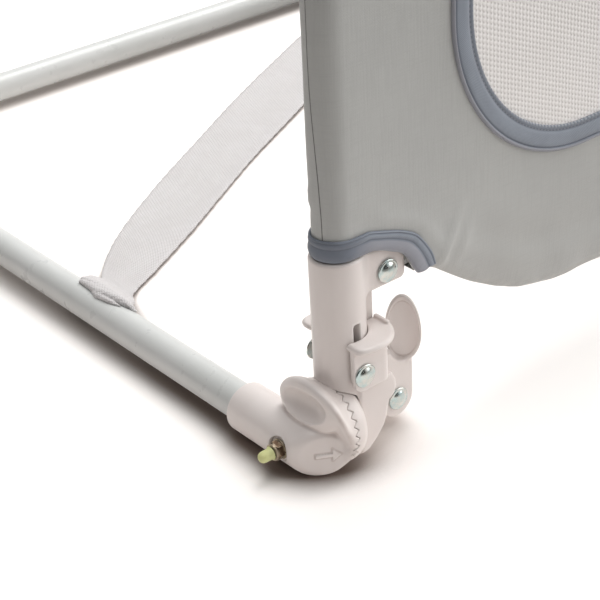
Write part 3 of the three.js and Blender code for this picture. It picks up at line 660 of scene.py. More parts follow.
def tube(path, r_out, r_in, n=40):
    """Hollow tube along a path, with softly broken ends."""
    path = np.asarray(path, float)
    tan = np.gradient(path, axis=0)
    tan /= np.linalg.norm(tan, axis=1)[:, None]
    nrm = np.cross(tan[0], (0, 0, 1.0)) if abs(tan[0][2]) < 0.9 else np.cross(tan[0], (0, 1.0, 0))
    nrm /= np.linalg.norm(nrm)
    rings = []
    frames = []
    for t in tan:
        nrm = nrm - t * nrm.dot(t)
        nrm /= np.linalg.norm(nrm)
        frames.append((nrm.copy(), np.cross(t, nrm)))
    a = np.arange(n) * 2 * math.pi / n

    def ring(i, r, back=0.0):
        e1, e2 = frames[i]
        return path[i] + tan[i] * back + r * (np.cos(a)[:, None] * e1 + np.sin(a)[:, None] * e2)

    last = len(path) - 1
    rings.append(ring(0, r_in, 0.25))
    rings.append(ring(0, (r_in + r_out) / 2, 0.0))
    rings.append(ring(0, r_out, 0.35))
    rings += [ring(i, r_out) for i in range(1, last)]
    rings += [ring(last, r_out, -0.35), ring(last, (r_in + r_out) / 2), ring(last, r_in, -0.25)]
    rings += [ring(i, r_in) for i in range(last - 1, 0, -1)]
    v = np.concatenate(rings)
    k = len(rings)
    f = [(i * n + j, i * n + (j + 1) % n, ((i + 1) % k) * n + (j + 1) % n, ((i + 1) % k) * n + j) for i in range(k) for j in range(n)]
    return v, np.array(f)


def tri(x):
    """Triangle wave from -1 to 1, period 1."""
    return 4 * np.abs((x % 1) - 0.5) - 1


def seam_u(y, z):
    """Zigzag of the toothed coupling: 30 teeth round the hinge."""
    t = np.arctan2(z - HZ, y) / (2 * math.pi) * 30
    return SEAM - 0.2 + 1.25 * tri(t)


# ------------------------------------------------------------------ moulded shapes
DISC_R = curve([-4, -1.6, -0.4, 1.2, 2.6, 4.6, 6.4, 7.8, 10, 14], [23.2, 25.3, 26.2, 26.6, 26.2, 25.1, 23.7, 22.8, 22.0, 21.7])
PAD_R = curve([-14, 0.5, 2.6, 4.6, 6.6, 8.2, 12], [26.3, 25.8, 25.3, 24.4, 23.2, 22.4, 21.8])
RING_R = curve([8, 12, 14.6, 17.4, 19.4, 20.6], [21.75, 21.7, 21.6, 20.9, 19.6, 17.6])
SLANT = 0.54


def sd_housing(p):
    u, y, z = p.T
    r = np.hypot(y, z - HZ)
    face_u = np.minimum(-0.5 + (40 - z) * math.tan(0.38), 8.8)
    lean = (face_u - u) * math.cos(0.38)
    disc = smax((r - DISC_R(u)) * 0.85, lean, 4.6)
    disc = smax(disc, -1.6 - u, 1.0)
    pad = smax(ell(u, y, z, (4.6, 2.6, 34.0), (8.8, 21.2, 13.6), -0.10), (r - PAD_R(u)) * 0.9, 1.0)
    pad = smax(pad, u - 10.4, 0.5)
    body = smin(disc, pad, 2.2)
    cyl = np.hypot(u, z - ARM_Z) - 12.9
    face = -u * math.sin(SLANT) - (y + 10.3) * math.cos(SLANT)
    barrel = smax(cyl, y - 48.5, 1.0)
    barrel = smax(barrel, face, 0.6)
    barrel = smax(barrel, (cyl + face + 2.3) * 0.7071, 1.1)
    barrel = np.maximum(barrel, -np.maximum(r - 22.4, 11.6 - u))
    barrel = np.maximum(barrel, -np.maximum(np.maximum(10 - u, y), np.maximum(21.9 - r, z - 30)))
    body = smin(body, barrel, 1.7)
    body = smax(body, -z, 0.8)
    body = smax(body, -ell(u, y, z, (-6.9, 1.0, 36.2), (10.3, 18.4, 9.1), -0.10), 0.8)
    body = smax(body, -np.maximum(np.hypot(u, z - ARM_Z) - 9.8, 4.3 - y), 0.7)
    bolt = np.hypot(y - 8.6, z - ARM_Z)
    body = smax(body, -np.maximum(bolt - 6.4, u + 10.6), 0.6)
    body = np.maximum(body, -(bolt - 2.8))
    body = np.maximum(body, -np.maximum(bolt - 4.8, 9.6 - u))
    body = np.maximum(body, -np.maximum(r - 3.3, 0.4 - u))
    body = smax(body, (u - seam_u(y, z)) * 0.72, 0.35)
    s = u * math.cos(SLANT) - (y + 9.5) * math.sin(SLANT)
    w = z - ARM_Z
    arrow = poly(s - 2.4, w, [(-6.2, -1.05), (2.0, -1.05), (2.0, -3.5), (6.2, 0), (2.0, 3.5), (2.0, 1.05), (-6.2, 1.05)])
    arrow = smax(arrow, np.abs(face) - 0.75, 0.5)
    return smin(body, arrow, 0.35)


def sd_ring(p):
    u, y, z = p.T
    r = np.hypot(y, z - HZ)
    d = smax((r - RING_R(u)) * 0.9, u - 20.2, 1.2)
    d = smin(d, smax(r - 11.0, u - 29.4, 0.4), 0.6)
    d = smax(d, (seam_u(y, z) + 0.42 - u) * 0.72, 0.35)
    return np.maximum(d, 3.3 - r)


BLOCK = [(20.5, 3.0), (23.4, 3.4), (31.0, 9.6), (35.8, 15.2), (37.6, 20.0), (38.6, 24.6), (39.4, 27.4), (42.6, 29.8),
         (44.2, 33.6), (43.6, 37.6), (41.6, 41.7), (20.5, 41.7)]
WING = rrect(26, 56.6, 86.8, 107.8, [0, 4.5, 11, 0])
EAR = rrect(34, 65, 3.4, 29.5, [6, 10, 8, 0])
CUT_R = curve([-40, 2.4, 4.6, 6.4, 7.8, 9.2, 10.8, 15.0, 17.8, 19.9, 20.6], [27.3, 26.9, 25.7, 24.2, 23.2, 22.5, 22.15, 22.05, 21.35, 19.9, 18.4])


def sd_bracket(p):
    u, y, z = p.T
    r = np.hypot(y, z - HZ)
    post = smax(np.hypot(u - POST_U, y) - 12.9, z - 108.9, 2.2)
    post = np.maximum(post, 22 - z)
    wing = smax(poly(u, z, WING), np.abs(y) - 9, 1.8)
    corner = poly(u, y, rrect(10, 56.6, -9, 9, [0, 4, 4, 0]))
    wing = smax(wing, corner, 1.0)
    body = smin(post, wing, 2.6)
    body = smin(body, box3(u, y, z, (30, -1.7, 66.2), (40.6, 1.7, 90), 0.6), 0.9)
    block = smax(poly(u, z, BLOCK), np.abs(y) - 14, 2.2)
    block = smax(block, np.minimum(r - 21.6, 22 - z), 1.2)
    body = smin(body, block, 1.6)
    ear = smax(poly(u, z, EAR), np.abs(y - 6.2) - 3.3, 1.4)
    body = smin(body, ear, 1.4)
    body = smax(body, -np.maximum((r - CUT_R(u)) * 0.9, u - 20.5), 0.5)
    body = np.maximum(body, -np.maximum(r - 11.3, u - 29.7))
    body = np.maximum(body, -(r - 3.3))
    body = smax(body, -np.maximum(r - 6.8, 33.4 - u), 0.6)
    body = smax(body, -np.maximum(np.hypot(u - POST_U, y) - 9.8, 80.6 - z), 0.6)
    slot = poly(u, z, rrect(POST_U - 1.9, POST_U + 1.9, 49.0, 76.4, 1.2))
    body = smax(body, -slot, 0.5)
    body = np.maximum(body, -box3(u, y, z, (18.2, -2.4, 43.2), (27.9, 2.4, 65.8)))
    body = np.maximum(body, -box3(u, y, z, (22.1, -2.4, 28), (27.9, 2.4, 50)))
    body = smax(body, -np.maximum(np.hypot(y, z - 94.4) - 6.65, 39.8 - u), 0.5)
    return np.maximum(body, -(np.hypot(u - 55.4, z - 15.2) - 2.6))


FLANGE = [(15.0, -13.6), (14.5, -16.6), (14.9, -19.6), (17.0, -21.6), (21.5, -22.8), (27.5, -23.2), (33.4, -22.4), (39.2, -18.6), (43.1, -12.4), (43.7, -6.5),
          (43.7, 6.5), (43.1, 12.4), (39.2, 18.6), (33.4, 22.0), (18.8, 22.0), (15.2, 20.6), (13.2, 16.6), (13.4, 12)]
for _ in range(3):
    ring_ = FLANGE + FLANGE[:1]
    FLANGE = [(a[0] * k + b[0] * (1 - k), a[1] * k + b[1] * (1 - k)) for a, b in zip(ring_[:-1], ring_[1:]) for k in (0.75, 0.25)]
COLLAR = rrect(14.8, 38.2, -17, 17, [0.8, 5, 5, 0.8])


def sd_slider(p):
    u, y, z = p.T
    outer = smax(smax(poly(u, y, COLLAR), 42.0 - z, 1.2), z - 66.9, 0.8)
    top = 68.4 - 0.05 * np.clip(np.abs(y) - 12, 0, 12)
    flange = smax(poly(u, y, FLANGE), np.abs(z - (top - 1.75)) - 1.75, 2.2)
    rim = smax(poly(u, y, rrect(40.0, 42.2, -12, 12, 0.9)), np.abs(z - 68.4) - 1.3, 0.8)
    body = smin(smin(outer, flange, 1.4), rim, 0.6)
    body = smax(body, -(np.hypot(u - POST_U, y) - 13.4), 0.7)
    body = np.maximum(body, -np.maximum(np.maximum(np.abs(y) - 14.4, u - 34.8), z - 65.4))
    body = smax(body, -np.maximum(u - 15.8, np.abs(y) - 11.4), 0.5)
    body = smax(body, -np.maximum(np.maximum(u - 18.4, 8 - y), z - 65.4), 0.8)
    body = smax(body, -np.maximum(np.maximum(30 - u, np.abs(y) - 2.3), 47.6 - z), 0.6)
    body = smax(body, -poly(u, z, [(0, 30), (22.3, 30), (20.3, 41.9), (17.8, 42.8), (15.7, 44.9), (14.8, 48.5), (0, 48.5)]), 1.0)
    return np.maximum(body, -(np.hypot(u - POST_U, z - 51) - 2.0))


LEVER_PLATE = [(55.4 + 10.6 * math.cos(math.pi + math.pi * i / 16), 15.2 + 10.6 * math.sin(math.pi + math.pi * i / 16)) for i in range(17)]
LEVER_PLATE += [(66.0, 39.5), (65.4, 43.0), (44.8, 43.0)]


def sd_lever(p):
    u, y, z = p.T
    plate = smax(poly(u, z, LEVER_PLATE), np.abs(y - 0.7) - 1.9, 1.3)
    ca, sa = math.cos(0.68), math.sin(0.68)
    x = (u - 59.4) * ca - (y + 1.6) * sa

    def oval(k):
        k0 = np.hypot(x / (8.8 * k), (z - 51.6) / (18.2 * k)) + 1e-9
        k1 = np.hypot(x / (8.8 * k) ** 2, (z - 51.6) / (18.2 * k) ** 2) + 1e-9
        return k0 * (k0 - 1) / k1
    rc = np.hypot(u - 53.2, y + 8.0)
    paddle = smax(np.abs(rc - 12.9) - 1.5, oval(1.0), 1.0)
    paddle = smax(smax(paddle, 50.4 - u, 0.8), -12 - y, 0.8)
    body = smax(plate, -np.maximum(oval(0.9), rc - 11.6), 0.8)
    body = smin(body, paddle, 1.6)
    body = smax(body, -np.maximum(oval(0.86), rc - 12.0), 0.7)
    return np.maximum(body, -(np.hypot(u - 55.4, z - 15.2) - 2.6))


def sd_sleeve(p):
    x, y, z = p.T
    d = smax(np.hypot(y - 500, z - ARM_Z) - 12.9, np.abs(x) - 38, 1.6)
    d = smax(d, -z, 0.6)
    d = smin(d, smax(np.hypot(y - 500, z - ARM_Z) - 13.3, np.abs(np.abs(x) - 35.2) - 1.4, 1.0), 0.8)
    d = smax(d, -z, 0.5)
    d = smax(d, -(np.hypot(y - 500, z - ARM_Z) - 9.8), 0.6)
    hole = np.hypot(np.abs(x) - 22, y - 500)
    d = smax(d, np.where(z > ARM_Z, 2.2 - hole, -9), 0.4)
    return smax(d, np.where(z > ARM_Z, -np.maximum(hole - 4.6, 25.35 - z), -9), 0.4)


def sd_nut(p):
    u, y, z = p.T
    a = np.arctan2(z - ARM_Z, y - 8.6)
    r = np.hypot(y - 8.6, z - ARM_Z)
    k = math.pi / 3
    hx = r * np.cos(((a + 0.35 + k / 2) % k) - k / 2) - 4.35
    nut = smax(hx, np.abs(u + 13.6) - 1.9, 0.5)
    nut = smax(nut, (r + np.abs(u + 13.6) - 6.25) * 0.7071, 0.4)
    washer = smax(r - 5.2, np.abs(u + 11.3) - 0.45, 0.3)
    collar = smax(r - 4.3, np.abs(u + 15.8) - 0.6, 0.5)
    d = np.minimum(np.minimum(nut, washer), collar)
    return np.maximum(d, 2.55 - r)


def sd_screw(p):
    """Pan head with a cross recess, round the vertical at 0, 0; base of the head at z = 0."""
    x, y, z = p.T
    r = np.hypot(x, y)
    d = smax(r - 3.8, -z, 0.3)
    d = smax(d, np.sqrt(r**2 + (z + 6.2) ** 2) - 8.3, 0.6)
    shank = smax(r - 1.9, np.maximum(z - 0.5, -6 - z), 0.2)
    d = np.minimum(d, shank)
    cross = np.minimum(np.maximum(np.abs(x) - 0.45, np.abs(y) - 2.0), np.maximum(np.abs(y) - 0.45, np.abs(x) - 2.0))
    return smax(d, -np.maximum(cross, 0.9 - z), 0.2)


both("arm_housing", sd_housing, (-16, -27, -1.2), (13.6, 50, 49.5), 0.5, "white_plastic", ("base", "base"))
both("hinge_ring", sd_ring, (8.6, -23, -1.0), (30.6, 23, 45), 0.55, "white_plastic", ("hinge_cores", "hinge_cores"))


def lighten_slot_walls(v, at):
    """Painted light on the walls of the post slot: no recess shade there, and full edge lightening."""
    inside = (np.abs(v[:, 0] - POST_U) < 2.7) & (v[:, 2] > 48) & (v[:, 2] < 77.5)
    at["cavity"][inside] = 0.0
    at["edge"][inside] = 1.6


both("corner_bracket", sd_bracket, (6.5, -15.5, -1), (66.5, 15.5, 111.5), 0.6, "white_plastic", ("panel", "panel"), lighten_slot_walls)
both("latch_slider", sd_slider, (11.5, -24.5, 40.5), (45.5, 23.8, 71.5), 0.5, "white_plastic", ("slider_left", "slider_right"))
both("release_lever", sd_lever, (43.2, -13.6, 3.0), (69.4, 8.8, 71.5), 0.5, "white_plastic", ("lever_left", "lever_right"))
both("arm_nut", sd_nut, (-17.2, 2.2, 6.1), (-10.2, 15.0, 18.9), 0.24, "bronze_nut", ("base", "base"))

v, q, at = nets(sd_sleeve, (-40, 484, -1), (40, 516, 28), 0.6)
v = np.stack([v[:, 0], v[:, 1] + AXIS_Y, v[:, 2]], 1) / 1000
done(make("rear_sleeve_shell", v, q, M["white_plastic"], attrs=at), "base", "white_plastic", "rear_sleeve")

v, q, at = nets(sd_screw, (-4.4, -4.4, -6.6), (4.4, 4.4, 2.8), 0.25)
for side in SIDES:
    w = v + np.array([HALF - 22, 500, 25.6])
    done(make(f"sleeve_screw_{side}_finish", world(w, side), q, M["zinc_rivet"], attrs=at, flip=side == "right"),
         "base", "zinc_rivet", f"sleeve_screw_{side}")


# ------------------------------------------------------------------ turned parts
def rivet_profile(h0, h1, shank, r=5.9, height=2.4):
    """Domed head, rolled rim and shallow ring groove, on both ends of a shank."""
    head = [(0.0, shank), (0.0, r - 0.35), (0.22, r), (0.62, r + 0.02), (0.92, r - 0.25), (1.02, r - 0.75), (1.0, r - 1.05),
            (1.2, r - 1.5), (1.62, r - 2.3), (2.02, r - 3.3), (2.28, r - 4.4), (height, r - 5.4), (height + 0.01, 0.0)]
    low = [(h0 - a, b) for a, b in reversed(head)]
    return low + [(h1 + a, b) for a, b in head]


turned("slider_rivet", "y", (POST_U, 0, 51), rivet_profile(-17.1, 17.1, 1.6), "zinc_rivet", ("slider_left", "slider_right"), 64)
turned("wing_rivet", "y", (43.7, 0, 94.4), rivet_profile(-9.05, 9.05, 2.2), "zinc_rivet", ("panel", "panel"), 64)
turned("lever_rivet", "y", (55.4, 0, 15.2), rivet_profile(-1.35, 9.65, 2.2), "zinc_rivet", ("panel", "panel"), 64)
turned("bolt_cap", "x", (0, 8.6, ARM_Z), [(-23.9, 0), (-23.85, 0.8), (-23.6, 1.7), (-23.0, 2.35), (-22.1, 2.75), (-21.0, 2.9), (-17.3, 2.95),
                                           (-16.9, 3.45), (-16.8, 3.2), (-16.8, 2.7), (-20.4, 2.6), (-20.4, 0)], "pale_cap", ("base", "base"), 48)
ridges = []
for i in range(9):
    ridges += [(-20 + i * 0.4, 2.15), (-19.8 + i * 0.4, 2.4)]
turned("arm_bolt", "x", (0, 8.6, ARM_Z), [(-20.2, 0), (-20.1, 1.9)] + ridges + [(9.8, 2.4), (9.9, 4.2), (10.4, 4.4), (11.2, 4.1), (11.3, 0)],
       "bronze_nut", ("base", "base"), 40)
turned("pivot_bolt", "x", (0, 0, HZ), [(0.8, 0), (0.9, 2.7), (1.4, 3.0), (33.7, 3.0), (33.7, 6.1), (34.1, 6.3), (35.3, 5.9), (36.2, 4.6),
                                        (36.6, 3.0), (36.6, 2.4), (35.0, 2.2), (35.0, 0)], "bronze_nut", ("base", "base"), 48)
turned("strap_screw", "z", (1.5, 178, 0), [(15.5, 0), (15.6, 1.2), (16.0, 1.4), (23.2, 1.4), (23.2, 2.6), (23.4, 2.9), (23.8, 2.6), (24.2, 1.6), (24.3, 0)],
       "zinc_rivet", ("base", "base"), 32)

# ------------------------------------------------------------------ tubes
arm = bent([(0, 4.6, ARM_Z), (0, 500, ARM_Z), (HALF - 0.5, 500, ARM_Z)], 60)
v, q = tube(arm, 9.5, 8.3, 48)
for side in SIDES:
    done(make(f"base_tube_{side}_finish", world(v, side), q, M["painted_steel"], flip=side == "left"), "base", "painted_steel", f"base_tube_{side}")

# hidden steel inside the fabric keeps its solid and takes the paint
for n_ in ("corner_tube_left", "corner_tube_right", "top_rail_joiner_left", "top_rail_joiner_right", "top_rail_tube", "lower_rail_tube"):
    o = nodes[n_]
    o.data.materials.clear()
    o.data.materials.append(M["painted_steel"])
for n_ in ("lock_plunger_left", "lock_plunger_right"):
    o = nodes[n_]
    o.data.materials.clear()
    o.data.materials.append(M["zinc_rivet"])


# ------------------------------------------------------------------ fabric cover
HEM = [(10, 110.6), (34, 110.6), (43, 109.4), (47, 107.8), (50.8, 104.2), (54, 98.8), (56.6, 93.2), (58.2, 88.8), (64, 87.4), (73, 85.0),
       (89, 75.0), (105, 65.0), (121, 56.0), (136, 49.9), (160, 44.6), (204, 42.6), (600, 42.6)]
BAND_LOW = [(-20, 109.4), (34, 109.1), (40, 106.8), (46, 103.9), (51, 101.2), (54.6, 97.0), (57.4, 92.0), (60.2, 87.6)]
BAND_TOP = [(-20, 119.8), (32, 119.4), (43, 116.0), (52, 112.6), (59.5, 108.4), (65.0, 102.2), (69.5, 95.0), (72.0, 88.2)]
HEM_U = np.array([p[0] for p in HEM], float)
HEM_Z = np.array([p[1] for p in HEM], float)
TUBE_W = 10.9


def smooth(t):
    t = np.clip(t, 0, 1)
    return t * t * (3 - 2 * t)


def cover_half(u, z):
    """Half thickness of the bag behind the front sheet."""
    hem = np.interp(u, HEM_U, HEM_Z)
    t = np.clip((101 - z) / np.maximum(101 - hem, 6), 0, 1)
    side = smooth((u - 60) / 45)
    return TUBE_W - 5.6 * side * t * t


def dist_curve(u, z, pts):
    """Signed-free distance to a polyline."""
    d = np.full(np.shape(u), 1e9)
    for (ax, ay), (bx, by) in zip(pts[:-1], pts[1:]):
        ex, ey = bx - ax, by - ay
        t = np.clip(((u - ax) * ex + (z - ay) * ey) / (ex * ex + ey * ey), 0, 1)
        d = np.minimum(d, np.hypot(u - ax - ex * t, z - ay - ey * t))
    return d


def folds(u, z, side):
    """Outward relief of the cloth in mm: slack near the hem, pull lines from the band, faint billow."""
    hem = np.interp(u, HEM_U, HEM_Z)
    above = z - hem
    s = u + 0.35 * z
    edge = np.exp(-np.clip(above, 0, None) / 13.0) * smooth((u - 58) / 14)
    rip = np.sin(s / 5.6 + 1.3 * np.sin(s / 31.0)) * 0.55 + np.sin(s / 13.7 + 0.8) * 0.55
    out = edge * rip * 1.0
    # long soft roll parallel to the hem
    out += 0.85 * np.exp(-((above - 15) / 6.5) ** 2) * smooth((u - 66) / 30) * (0.75 + 0.25 * np.sin(u / 23.0))
    out -= 0.75 * np.exp(-((above - 27) / 8.0) ** 2) * smooth((u - 80) / 40)
    # cloth stands proud above the band on the wing
    dband = dist_curve(u, z, BAND_TOP[1:])
    beyond = (z > np.interp(u, [p[0] for p in BAND_TOP], [p[1] for p in BAND_TOP])) | (u > 66)
    out += 0.9 * np.exp(-((dband - 5.0) / 3.6) ** 2) * smooth((u - 30) / 14) * beyond * (z > 84)
    # pull line from the end of the band up into the sheet
    q = (u - 77) * 0.86 - (z - 90) * 0.5
    along = (u - 77) * 0.5 + (z - 90) * 0.86
    out += 1.7 * np.exp(-(q / 3.2) ** 2) * smooth((along + 8) / 10) * smooth((34 - along) / 26)
    q2 = (u - 88) * 0.93 - (z - 84) * 0.36
    out += 1.1 * np.exp(-(q2 / 3.6) ** 2) * smooth((z - 80) / 8) * smooth((112 - z) / 18)
    out += 0.28 * np.sin(u / 47.0 + z / 61.0 + (0.0 if side == "front" else 1.7)) * smooth((z - 120) / 60)
    out += 0.18 * np.sin(u / 19.0 - z / 37.0 + 0.5) * smooth((u - 40) / 30)
    return out * smooth((u - 22) / 12)


def axis_station():
    """Stations along the tube axis line of one half: (u, z) and outward normal."""
    out = []
    zs = np.linspace(110.6, 368, 62)
    for z in zs:
        out.append((POST_U, z, -1.0, 0.0))
    for k in range(1, 26):
        a = math.pi - k / 25 * math.pi / 2
        out.append((91 + 70 * math.cos(a), 368 + 70 * math.sin(a), math.cos(a), math.sin(a)))
    for u in np.linspace(91, HALF, 84)[1:]:
        out.append((u, TOP_Z, 0.0, 1.0))
    return np.array(out)


ST = axis_station()


def build_cover():
    win = [(p[0] + HALF, p[1]) for p in rrect(-HALF + 83.3 + 6.6, HALF - 83.3 - 6.6, 116.4 + 6.6, 391.5 - 6.6, 90 - 6.6, 26)]
    win = [p for p in win if p[0] <= HALF]
    # loop of the window of this half, from the middle bottom round to the middle top
    low = sorted([p for p in win if p[0] > 180 and p[1] < 200], key=lambda p: -p[0])
    wl = [(HALF, 123.0)] + [(x, 123.0) for x in np.arange(580, 178, -8.0)]
    arc1 = [(89.9 + 83.4 - 83.4 * math.sin(t), 123.0 + 83.4 - 83.4 * math.cos(t)) for t in np.linspace(0, math.pi / 2, 30)]
    arc2 = [(89.9 + 83.4 - 83.4 * math.cos(t), 384.9 - 83.4 + 83.4 * math.sin(t)) for t in np.linspace(0, math.pi / 2, 30)]
    wl += arc1 + [(89.9, z) for z in np.arange(212, 300, 8.0)] + arc2 + [(x, 384.9) for x in np.arange(182, 587, 8.0)] + [(HALF, 384.9)]
    # hem line sampled
    hu = np.concatenate([np.linspace(POST_U, 34, 5), np.linspace(36, 58.2, 12), np.linspace(59.5, 130, 36), np.linspace(133, 204, 24), np.linspace(211, HALF, 50)])
    hz = np.interp(hu, HEM_U, HEM_Z)
    hz = np.convolve(np.pad(hz, 1, mode="edge"), [0.25, 0.5, 0.25], "valid")
    hz[0] = 110.6
    loop = [(s[0], s[1]) for s in ST]                      # up the post and along the top
    mid_top = [(HALF, z) for z in np.linspace(TOP_Z, 384.9, 8)[1:]]
    mid_low = [(HALF, z) for z in np.linspace(123.0, hz[-1], 12)[1:-1]]
    outline = loop + mid_top + wl[::-1][1:] + mid_low + list(zip(hu, hz))[::-1][:-1]
    pts = [Vector((float(a), float(b))) for a, b in outline]
    n = len(pts)
    edges = [(i, (i + 1) % n) for i in range(n)]
    oa = np.array(outline, float)
    ring = [tuple(p) for p in oa]

    extra = []

    def grid(x0, x1, z0, z1, s):
        row = 0
        z = z0
        while z <= z1:
            x = x0 + (s / 2 if row % 2 else 0)
            while x <= x1:
                extra.append((x, z))
                x += s
            z += s * 0.866
            row += 1
    grid(22, 150, 45, 135, 3.2)
    grid(22, 120, 135, 436, 6.2)
    grid(150, HALF - 3, 44, 122, 5.4)
    grid(120, 190, 122, 200, 6.2)
    grid(110, HALF - 3, 386, 436, 6.5)
    grid(120, 190, 300, 386, 6.5)
    ex = np.array(extra)
    d = poly(ex[:, 0], ex[:, 1], ring)
    ex = ex[d < -1.9]
    pts += [Vector((float(a), float(b))) for a, b in ex]
    cdt = delaunay_2d_cdt(pts, edges, [list(range(n))], 1, 1e-5)
    p2 = np.array([tuple(p) for p in cdt[0]])
    tris = [tuple(t) for t in cdt[2]]
    return p2, tris


P2, TRIS = build_cover()


def nearest_axis(u, z):
    """For points on the axis line: index of the nearest station."""
    d = (u[:, None] - ST[None, :, 0]) ** 2 + (z[:, None] - ST[None, :, 1]) ** 2
    return d.argmin(1)


def cover_mesh():
    verts, uvs, seam, faces = [], [], [], []

    def push(v, uv, s):
        base = sum(len(a) for a in verts)
        verts.append(np.asarray(v, float))
        uvs.append(np.asarray(uv, float))
        seam.append(np.asarray(s, float))
        return base

    # inner sheets
    for side, sg in (("front", -1.0), ("back", 1.0)):
        u, z = P2[:, 0], P2[:, 1]
        w = cover_half(u, z)
        rel = folds(u, z, side) * smooth((HALF - u) / 60 + 0.4)
        hem = np.interp(u, HEM_U, HEM_Z)
        close = smooth(1 - (z - hem) / 2.4) * smooth((u - 58) / 4)      # rolled lower edge
        y = sg * (w + rel) * (1 - 0.30 * close)
        zz = z - 0.576 * (TUBE_W - w) * 1.0
        base = push(np.stack([u, y, zz], 1), np.stack([u, z], 1) / 1000, np.zeros(len(u)))
        t = [tuple(i + base for i in (f if sg < 0 else f[::-1])) for f in TRIS]
        faces.extend(t)
    # wrap round the tubes, with the side seam as one of its rows
    length = np.concatenate([[0], np.cumsum(np.hypot(*np.diff(ST[:, :2], axis=0).T))])
    zline = ST[:, 1]
    phi_seam = np.where(ST[:, 0] <= POST_U + 0.01, 90 - 19 * smooth((212 - zline) / 100), 90.0)
    rows = []
    for k in range(25):
        t = k / 24
        if k < 10:
            rows.append((k / 9 * (phi_seam - 5.0), 0 * phi_seam))
    rows += [(phi_seam - 2.2, 0.1 + 0 * phi_seam), (phi_seam - 0.9, 0.7 + 0 * phi_seam), (phi_seam, 1 + 0 * phi_seam),
             (phi_seam + 0.9, 0.7 + 0 * phi_seam), (phi_seam + 2.2, 0.1 + 0 * phi_seam)]
    for k in range(10):
        rows.append((phi_seam + 5.0 + (175 - phi_seam) * k / 9, 0 * phi_seam))
    first = None
    n = len(ST)
    for i, (phi, sm) in enumerate(rows):
        a = np.radians(np.clip(phi, 0, 180))
        r = TUBE_W - 0.42 * (sm > 0.9) + 0.10 * (np.abs(sm - 0.1) < 0.05)
        # small slack wrinkle on the post above the band
        wr = 0.75 * np.exp(-((zline - 138) / 3.2) ** 2) * np.exp(-((phi - 128) / 34) ** 2) \
            - 0.5 * np.exp(-((zline - 131) / 3.0) ** 2) * np.exp(-((phi - 120) / 40) ** 2) \
            + 0.22 * np.sin(zline / 17.0 + np.radians(phi) * 2) * np.sin(a)
        wr = wr * (ST[:, 0] <= POST_U + 0.01)
        off = (r + wr) * np.sin(a)
        v = np.stack([ST[:, 0] + ST[:, 2] * off, -(r + wr) * np.cos(a), ST[:, 1] + ST[:, 3] * off], 1)
        arc = TUBE_W * a
        uv = np.stack([ST[:, 0] + ST[:, 2] * arc, ST[:, 1] + ST[:, 3] * arc], 1) / 1000
        b = push(v, uv, sm)
        if first is None:
            first = b
    for i in range(len(rows) - 1):
        for j in range(n - 1):
            p0 = first + i * n + j
            faces.append((p0, p0 + n, p0 + n + 1, p0 + 1))
    v = np.concatenate(verts)
    return v, faces, np.concatenate(uvs), np.concatenate(seam)


def weld(ob, dist=2e-5, normals=True):
    bm = bmesh.new()
    bm.from_mesh(ob.data)
    bmesh.ops.remove_doubles(bm, verts=bm.verts, dist=dist)
    if normals:
        bmesh.ops.recalc_face_normals(bm, faces=bm.faces)
    bm.to_mesh(ob.data)
    bm.free()


cv, cf, cuv, cseam = cover_mesh()
left = world(cv, "left")
right = world(cv, "right")
both_v = np.concatenate([left, right])
off = len(left)
both_f = [tuple(f) for f in cf] + [tuple(i + off for i in reversed(f)) for f in cf]
uv_r = cuv.copy()
uv_r[:, 0] = 2 * HALF / 1000 - uv_r[:, 0]
cover = make("fabric_cover_cloth", both_v, both_f, M["grey_taffeta"], uv=np.concatenate([cuv, uv_r]), attrs={"seam": np.concatenate([cseam, cseam])})
weld(cover, 6e-5, False)


def close_hem(ob):
    """Joins the front and the back sheet along the lower edge between the wings."""
    bm = bmesh.new()
    bm.from_mesh(ob.data)
    uvl = bm.loops.layers.uv.active
    rim = [e for e in bm.edges if e.is_boundary]
    lower = [e for e in rim if all(v.co.z < 0.0886 and abs(v.co.x) < 0.5292 for v in e.verts)]
    front = [e for e in lower if all(v.co.y < HEMY for v in e.verts)]
    back = [e for e in lower if all(v.co.y > HEMY for v in e.verts)]
    if front and back:
        made = bmesh.ops.bridge_loops(bm, edges=front + back)
        for f in made.get("faces", []):
            f.smooth = True
            for lp in f.loops:
                lp[uvl].uv = (lp.vert.co.x + HALF / 1000, lp.vert.co.z + (lp.vert.co.y - HEMY))
    bmesh.ops.recalc_face_normals(bm, faces=bm.faces)
    bm.to_mesh(ob.data)
    bm.free()
    return len(front), len(back)


HEMY = AXIS_Y / 1000
print("hem edges", close_hem(cover))
thick = cover.modifiers.new("cloth_thickness", "SOLIDIFY")
thick.thickness = 0.0006
thick.offset = -1
thick.use_even_offset = False
done(cover, "panel", "grey_taffeta", "fabric_cover")


# ------------------------------------------------------------------ window net and binding
def loop_points(inset, step=5.0, arc=28):
    """Rounded window line, closed, in frame x and z, with arc numbers kept for any inset."""
    x0, x1 = -HALF + 83.3, HALF - 83.3
    z0, z1 = 116.4, 391.5
    R = 90.0
    out = []
    nx = int((x1 - x0 - 2 * R) / 7)
    nz = int((z1 - z0 - 2 * R) / 7)
    for cx, cz, a0, nn, dx, dz in ((x1 - R, z0 + R, -90, nz, 0, 1), (x1 - R, z1 - R, 0, nx, -1, 0), (x0 + R, z1 - R, 90, nz, 0, -1), (x0 + R, z0 + R, 180, nx, 1, 0)):
        r = R - inset
        for k in range(arc + 1):
            a = math.radians(a0 + 90 * k / arc)
            out.append((cx + r * math.cos(a), cz + r * math.sin(a)))
        lx, lz = (x1 - x0 - 2 * R), (z1 - z0 - 2 * R)
        ln = lx if dx else lz
        ex, ez = out[-1]
        for k in range(1, nn):
            out.append((ex + dx * ln * k / nn, ez + dz * ln * k / nn))
    return np.array(out)


